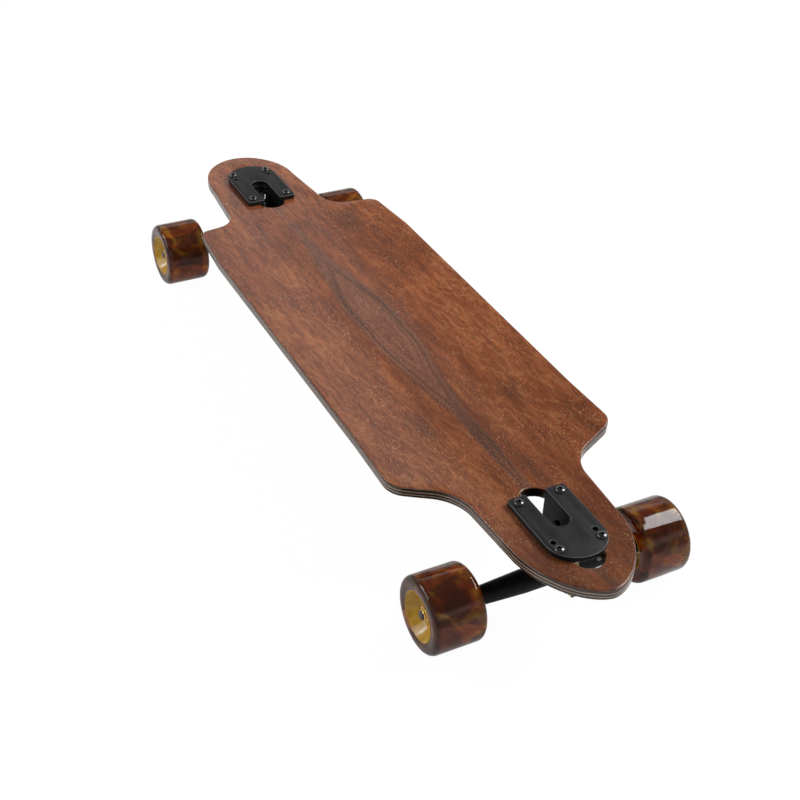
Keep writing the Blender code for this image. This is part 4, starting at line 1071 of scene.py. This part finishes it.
# The same coat darkened as painted shade, for the parts that sit under the flange and the deck.
SHADED_CAST = cast_look("black_cast_coat_painted_shade", (0.004, 0.004, 0.0042), 0.12, (0.006, 0.006, 0.0062))
BOLT = clouded_look("black_oxide_steel", ((0.006, 0.006, 0.007), (0.014, 0.014, 0.014)), (0.55, 0.75), 420.0,
                    (0.08, 0.18), 2500.0, 0.00002, 0.3, Coat_Weight=1.0, Coat_Roughness=0.05)
DARK_STEEL = steel_look("dark_axle_steel", (0.080, 0.065, 0.075), (0.040, 0.030, 0.038), 0.26)
POLISHED = steel_look("polished_bearing_steel", (0.62, 0.61, 0.60), (0.45, 0.44, 0.42), 0.16)
GOLD = steel_look("gold_plated_steel", (0.78, 0.55, 0.20), (0.60, 0.38, 0.12), 0.2)
BUSHING = clouded_look("amber_bushing", ((0.50, 0.28, 0.07), (0.66, 0.42, 0.13)), (0.35, 0.70), 180.0,
                       (0.32, 0.46), 1500.0, Transmission_Weight=0.25, IOR=1.5)
CUP = clouded_look("black_cup_plastic", ((0.015, 0.015, 0.016), (0.032, 0.031, 0.030)), (0.0, 1.0), 1800.0,
                   (0.44, 0.60), 1800.0, detail=2.0)
TYRE = tyre_look()
CORE = clouded_look("gold_core_plastic", ((0.40, 0.20, 0.004), (0.58, 0.34, 0.010)), (0.3, 0.7), 120.0,
                    (0.16, 0.26), 1600.0)
VENEER = veneer_look()
PLIES = ply_look()


def build_truck(prefix, end):
    """One truck's pieces; end is 1 at the nose and -1 at the tail."""
    truck = Matrix.Translation((end * TRUCK_FROM_MIDDLE, 0, FLANGE_TOP))
    if end < 0:
        truck = truck @ Matrix.Rotation(math.pi, 4, "Z")
    kingpin = truck @ KINGPIN_FRAME
    axle = truck @ AXLE_FRAME

    def add(name, mesh, look, place, node, bends=None):
        piece(prefix + name, mesh, [look], place, prefix + node, bends)

    def bend(*ends):
        """The hanger's body and the points at a bushing's washer end and ring end, which piece does not use.
        """
        return [prefix + "hanger_unit"] + [kingpin @ Vector((0, 0, end)) for end in ends]

    add("flange", flange_mesh(), CAST, truck, "baseplate")
    # The tower and the hanger take the copy of the coat darkened as painted shade.
    add("tower", tower_mesh(), SHADED_CAST, truck, "baseplate")
    add("ribbed_hanger", hanger_mesh(), SHADED_CAST, truck, "hanger")
    add("threaded_kingpin", kingpin_mesh(), BOLT, kingpin, "kingpin")
    nut_place = kingpin @ Matrix.Translation((0, 0, ROADSIDE_STACK + GAP))
    nut = lock_nut_mesh(KINGPIN_ACROSS_FLATS, KINGPIN_RADIUS + GAP, KINGPIN_NUT_HEIGHT)
    add("kingpin_lock_nut", nut, GOLD, nut_place, "kingpin_nut")
    board_washer = washer_mesh(BOARDSIDE_WASHER_RADIUS, GAP - BOARDSIDE_STACK)
    add("upper_washer", board_washer, DARK_STEEL, kingpin, "boardside_washer")
    road_washer = washer_mesh(ROADSIDE_WASHER_RADIUS, ROADSIDE_STACK - WASHER_THICKNESS)
    add("lower_washer", road_washer, DARK_STEEL, kingpin, "roadside_washer")
    seat = RING_HALF_THICKNESS - BUSHING_SEAT_DEPTH + GAP
    cone = bushing_mesh(seat, ROADSIDE_STACK - WASHER_THICKNESS - GAP, CONE_END_RADIUS)
    add("cone_bushing", cone, BUSHING, kingpin, "roadside_bushing",
        bend(ROADSIDE_STACK - WASHER_THICKNESS, RING_HALF_THICKNESS))
    barrel = bushing_mesh(seat, BOARDSIDE_STACK - WASHER_THICKNESS - 2 * GAP, BUSHING_RADIUS)
    add("barrel_bushing", barrel, BUSHING, truck @ FLIPPED_KINGPIN_FRAME, "boardside_bushing",
        bend(WASHER_THICKNESS - BOARDSIDE_STACK, -RING_HALF_THICKNESS))
    add("threaded_axle", axle_mesh(), DARK_STEEL, axle, "axle")
    cup = frame["nodes"][prefix + "pivot_cup"]
    cup.data.materials.clear()
    cup.data.materials.append(CUP)
    nut_top = -FLANGE_THICKNESS - DECK_THICKNESS - 2 * GAP
    for index, (x, y) in enumerate(bolt_places(), 1):
        bolt_place = truck @ Matrix.Translation((x, y, 0))
        add(f"socket_bolt_{index}", deck_bolt_mesh(), BOLT, bolt_place, f"deck_bolt_{index}")
        lock_nut = lock_nut_mesh(LOCK_NUT_ACROSS_FLATS, BOLT_DIAMETER / 2 + GAP, LOCK_NUT_HEIGHT)
        under_deck = truck @ Matrix.Translation((x, y, nut_top)) @ Matrix.Rotation(math.pi, 4, "X")
        add(f"nylon_nut_{index}", lock_nut, DARK_STEEL, under_deck, f"lock_nut_{index}")
    for side, side_name in ((1, "left_"), (-1, "right_")):
        build_wheel(prefix + side_name, axle, side * end)


def build_wheel(prefix, axle, side):
    """A wheel's pieces; side is 1 on the truck's own left."""
    outward = Matrix.Identity(4) if side > 0 else Matrix.Rotation(math.pi, 4, "X")
    wheel = axle @ outward @ Matrix.Translation((0, 0, WHEEL_CENTRE))
    piece(prefix + "urethane", tyre_mesh(), [TYRE], wheel, prefix + "tyre")
    piece(prefix + "ribbed_core", core_mesh(), [CORE], wheel, prefix + "wheel_core")
    bearing_centre = (BEARING_SPACING + BEARING_WIDTH) / 2
    for name, offset in (("inner_bearing", -bearing_centre), ("outer_bearing", bearing_centre)):
        place = wheel @ Matrix.Translation((0, 0, offset))
        piece(f"{prefix}{name}_rings", bearing_mesh(), [POLISHED], place, prefix + name)
    nut = lock_nut_mesh(AXLE_NUT_ACROSS_FLATS, AXLE_RADIUS + GAP, AXLE_NUT_HEIGHT)
    nut_place = axle @ outward @ Matrix.Translation((0, 0, AXLE_NUT_START))
    piece(prefix + "nylon_axle_nut", nut, [GOLD], nut_place, prefix + "axle_nut")


def build_camera():
    aim = Vector((math.cos(CAMERA_ELEVATION) * math.cos(CAMERA_AZIMUTH),
                  math.cos(CAMERA_ELEVATION) * math.sin(CAMERA_AZIMUTH), math.sin(CAMERA_ELEVATION)))
    right = aim.cross(Vector((0, 0, 1))).normalized()
    up = right.cross(aim)
    rolled_right = right * math.cos(CAMERA_ROLL) + up * math.sin(CAMERA_ROLL)
    rolled_up = up * math.cos(CAMERA_ROLL) - right * math.sin(CAMERA_ROLL)
    camera = bpy.data.cameras.new("camera")
    camera.lens = CAMERA_LENS
    camera.sensor_width = CAMERA_SENSOR
    camera.clip_start = 0.01
    made = linked("camera", camera)
    turn = Matrix((rolled_right, rolled_up, -aim)).transposed()
    made.matrix_world = Matrix.Translation(CAMERA_PLACE) @ turn.to_4x4()
    bpy.context.scene.camera = made


def softbox(name, place, target, width, height, power):
    light = bpy.data.lights.new(name, "AREA")
    light.shape = "RECTANGLE"
    light.size = width
    light.size_y = height
    light.energy = power
    made = linked(name, light)
    made.location = place
    made.rotation_euler = (Vector(place) - Vector(target)).to_track_quat("Z", "Y").to_euler()


def build_studio():
    """A pale floor, a white surround and three soft lights."""
    world = bpy.data.worlds.new("studio")
    world.use_nodes = True
    bpy.context.scene.world = world
    nodes = Nodes(world.node_tree)
    height = nodes.axis(nodes.node("ShaderNodeTexCoord").outputs["Generated"], "Z")
    walls = nodes.ramp(height, [(position, (gloss, gloss, gloss)) for position, gloss in WALL_GLOSS])
    strength = nodes.math("MAXIMUM", nodes.seen_directly(walls), AMBIENT)
    background = world.node_tree.nodes["Background"]
    background.inputs["Color"].default_value = (1.0, 1.0, 1.0, 1.0)
    world.node_tree.links.new(strength, background.inputs["Strength"])

    floor_mesh = bpy.data.meshes.new("floor")
    corners = [(x * FLOOR_REACH, y * FLOOR_REACH, 0) for x, y in ((-1, -1), (1, -1), (1, 1), (-1, 1))]
    floor_mesh.from_pydata(corners, [], [(0, 1, 2, 3)])
    floor = linked("floor", floor_mesh)
    floor.location = (0, 0, -FLOOR_DROP)
    look = Look("pale_floor", Base_Color=(0.82, 0.82, 0.82, 1.0), Roughness=1.0, Specular_IOR_Level=0.0)
    glow = look.node("ShaderNodeEmission", {"Strength": FLOOR_WHITE})
    share = look.times(look.seen_directly(FLOOR_GLOSS), FLOOR_GLOW)
    mixed = look.node("ShaderNodeMixShader", {0: share, 1: look.shader.outputs[0], 2: glow.outputs[0]})
    look.output("Surface", mixed.outputs[0])
    floor_mesh.materials.append(look.material)

    softbox("key_softbox", (0.30, 1.35, 1.50), (0.1, 0.0, 0.05), 1.15, 0.90, 38.0)
    softbox("fill_softbox", (-0.40, -1.80, 1.30), (0.0, 0.0, 0.05), 1.20, 1.20, 15.0)
    softbox("back_softbox", (-1.19, -1.56, 1.50), (0.2, 0.0, 0.05), 0.50, 0.50, 10.0)


piece("veneered_deck", deck_mesh(), [VENEER, PLIES], Matrix.Translation((0, 0, DECK_TOP)), "deck")
build_truck("front_", 1)
build_truck("rear_", -1)
build_camera()
build_studio()
bpy.context.scene.view_settings.view_transform = "Standard"
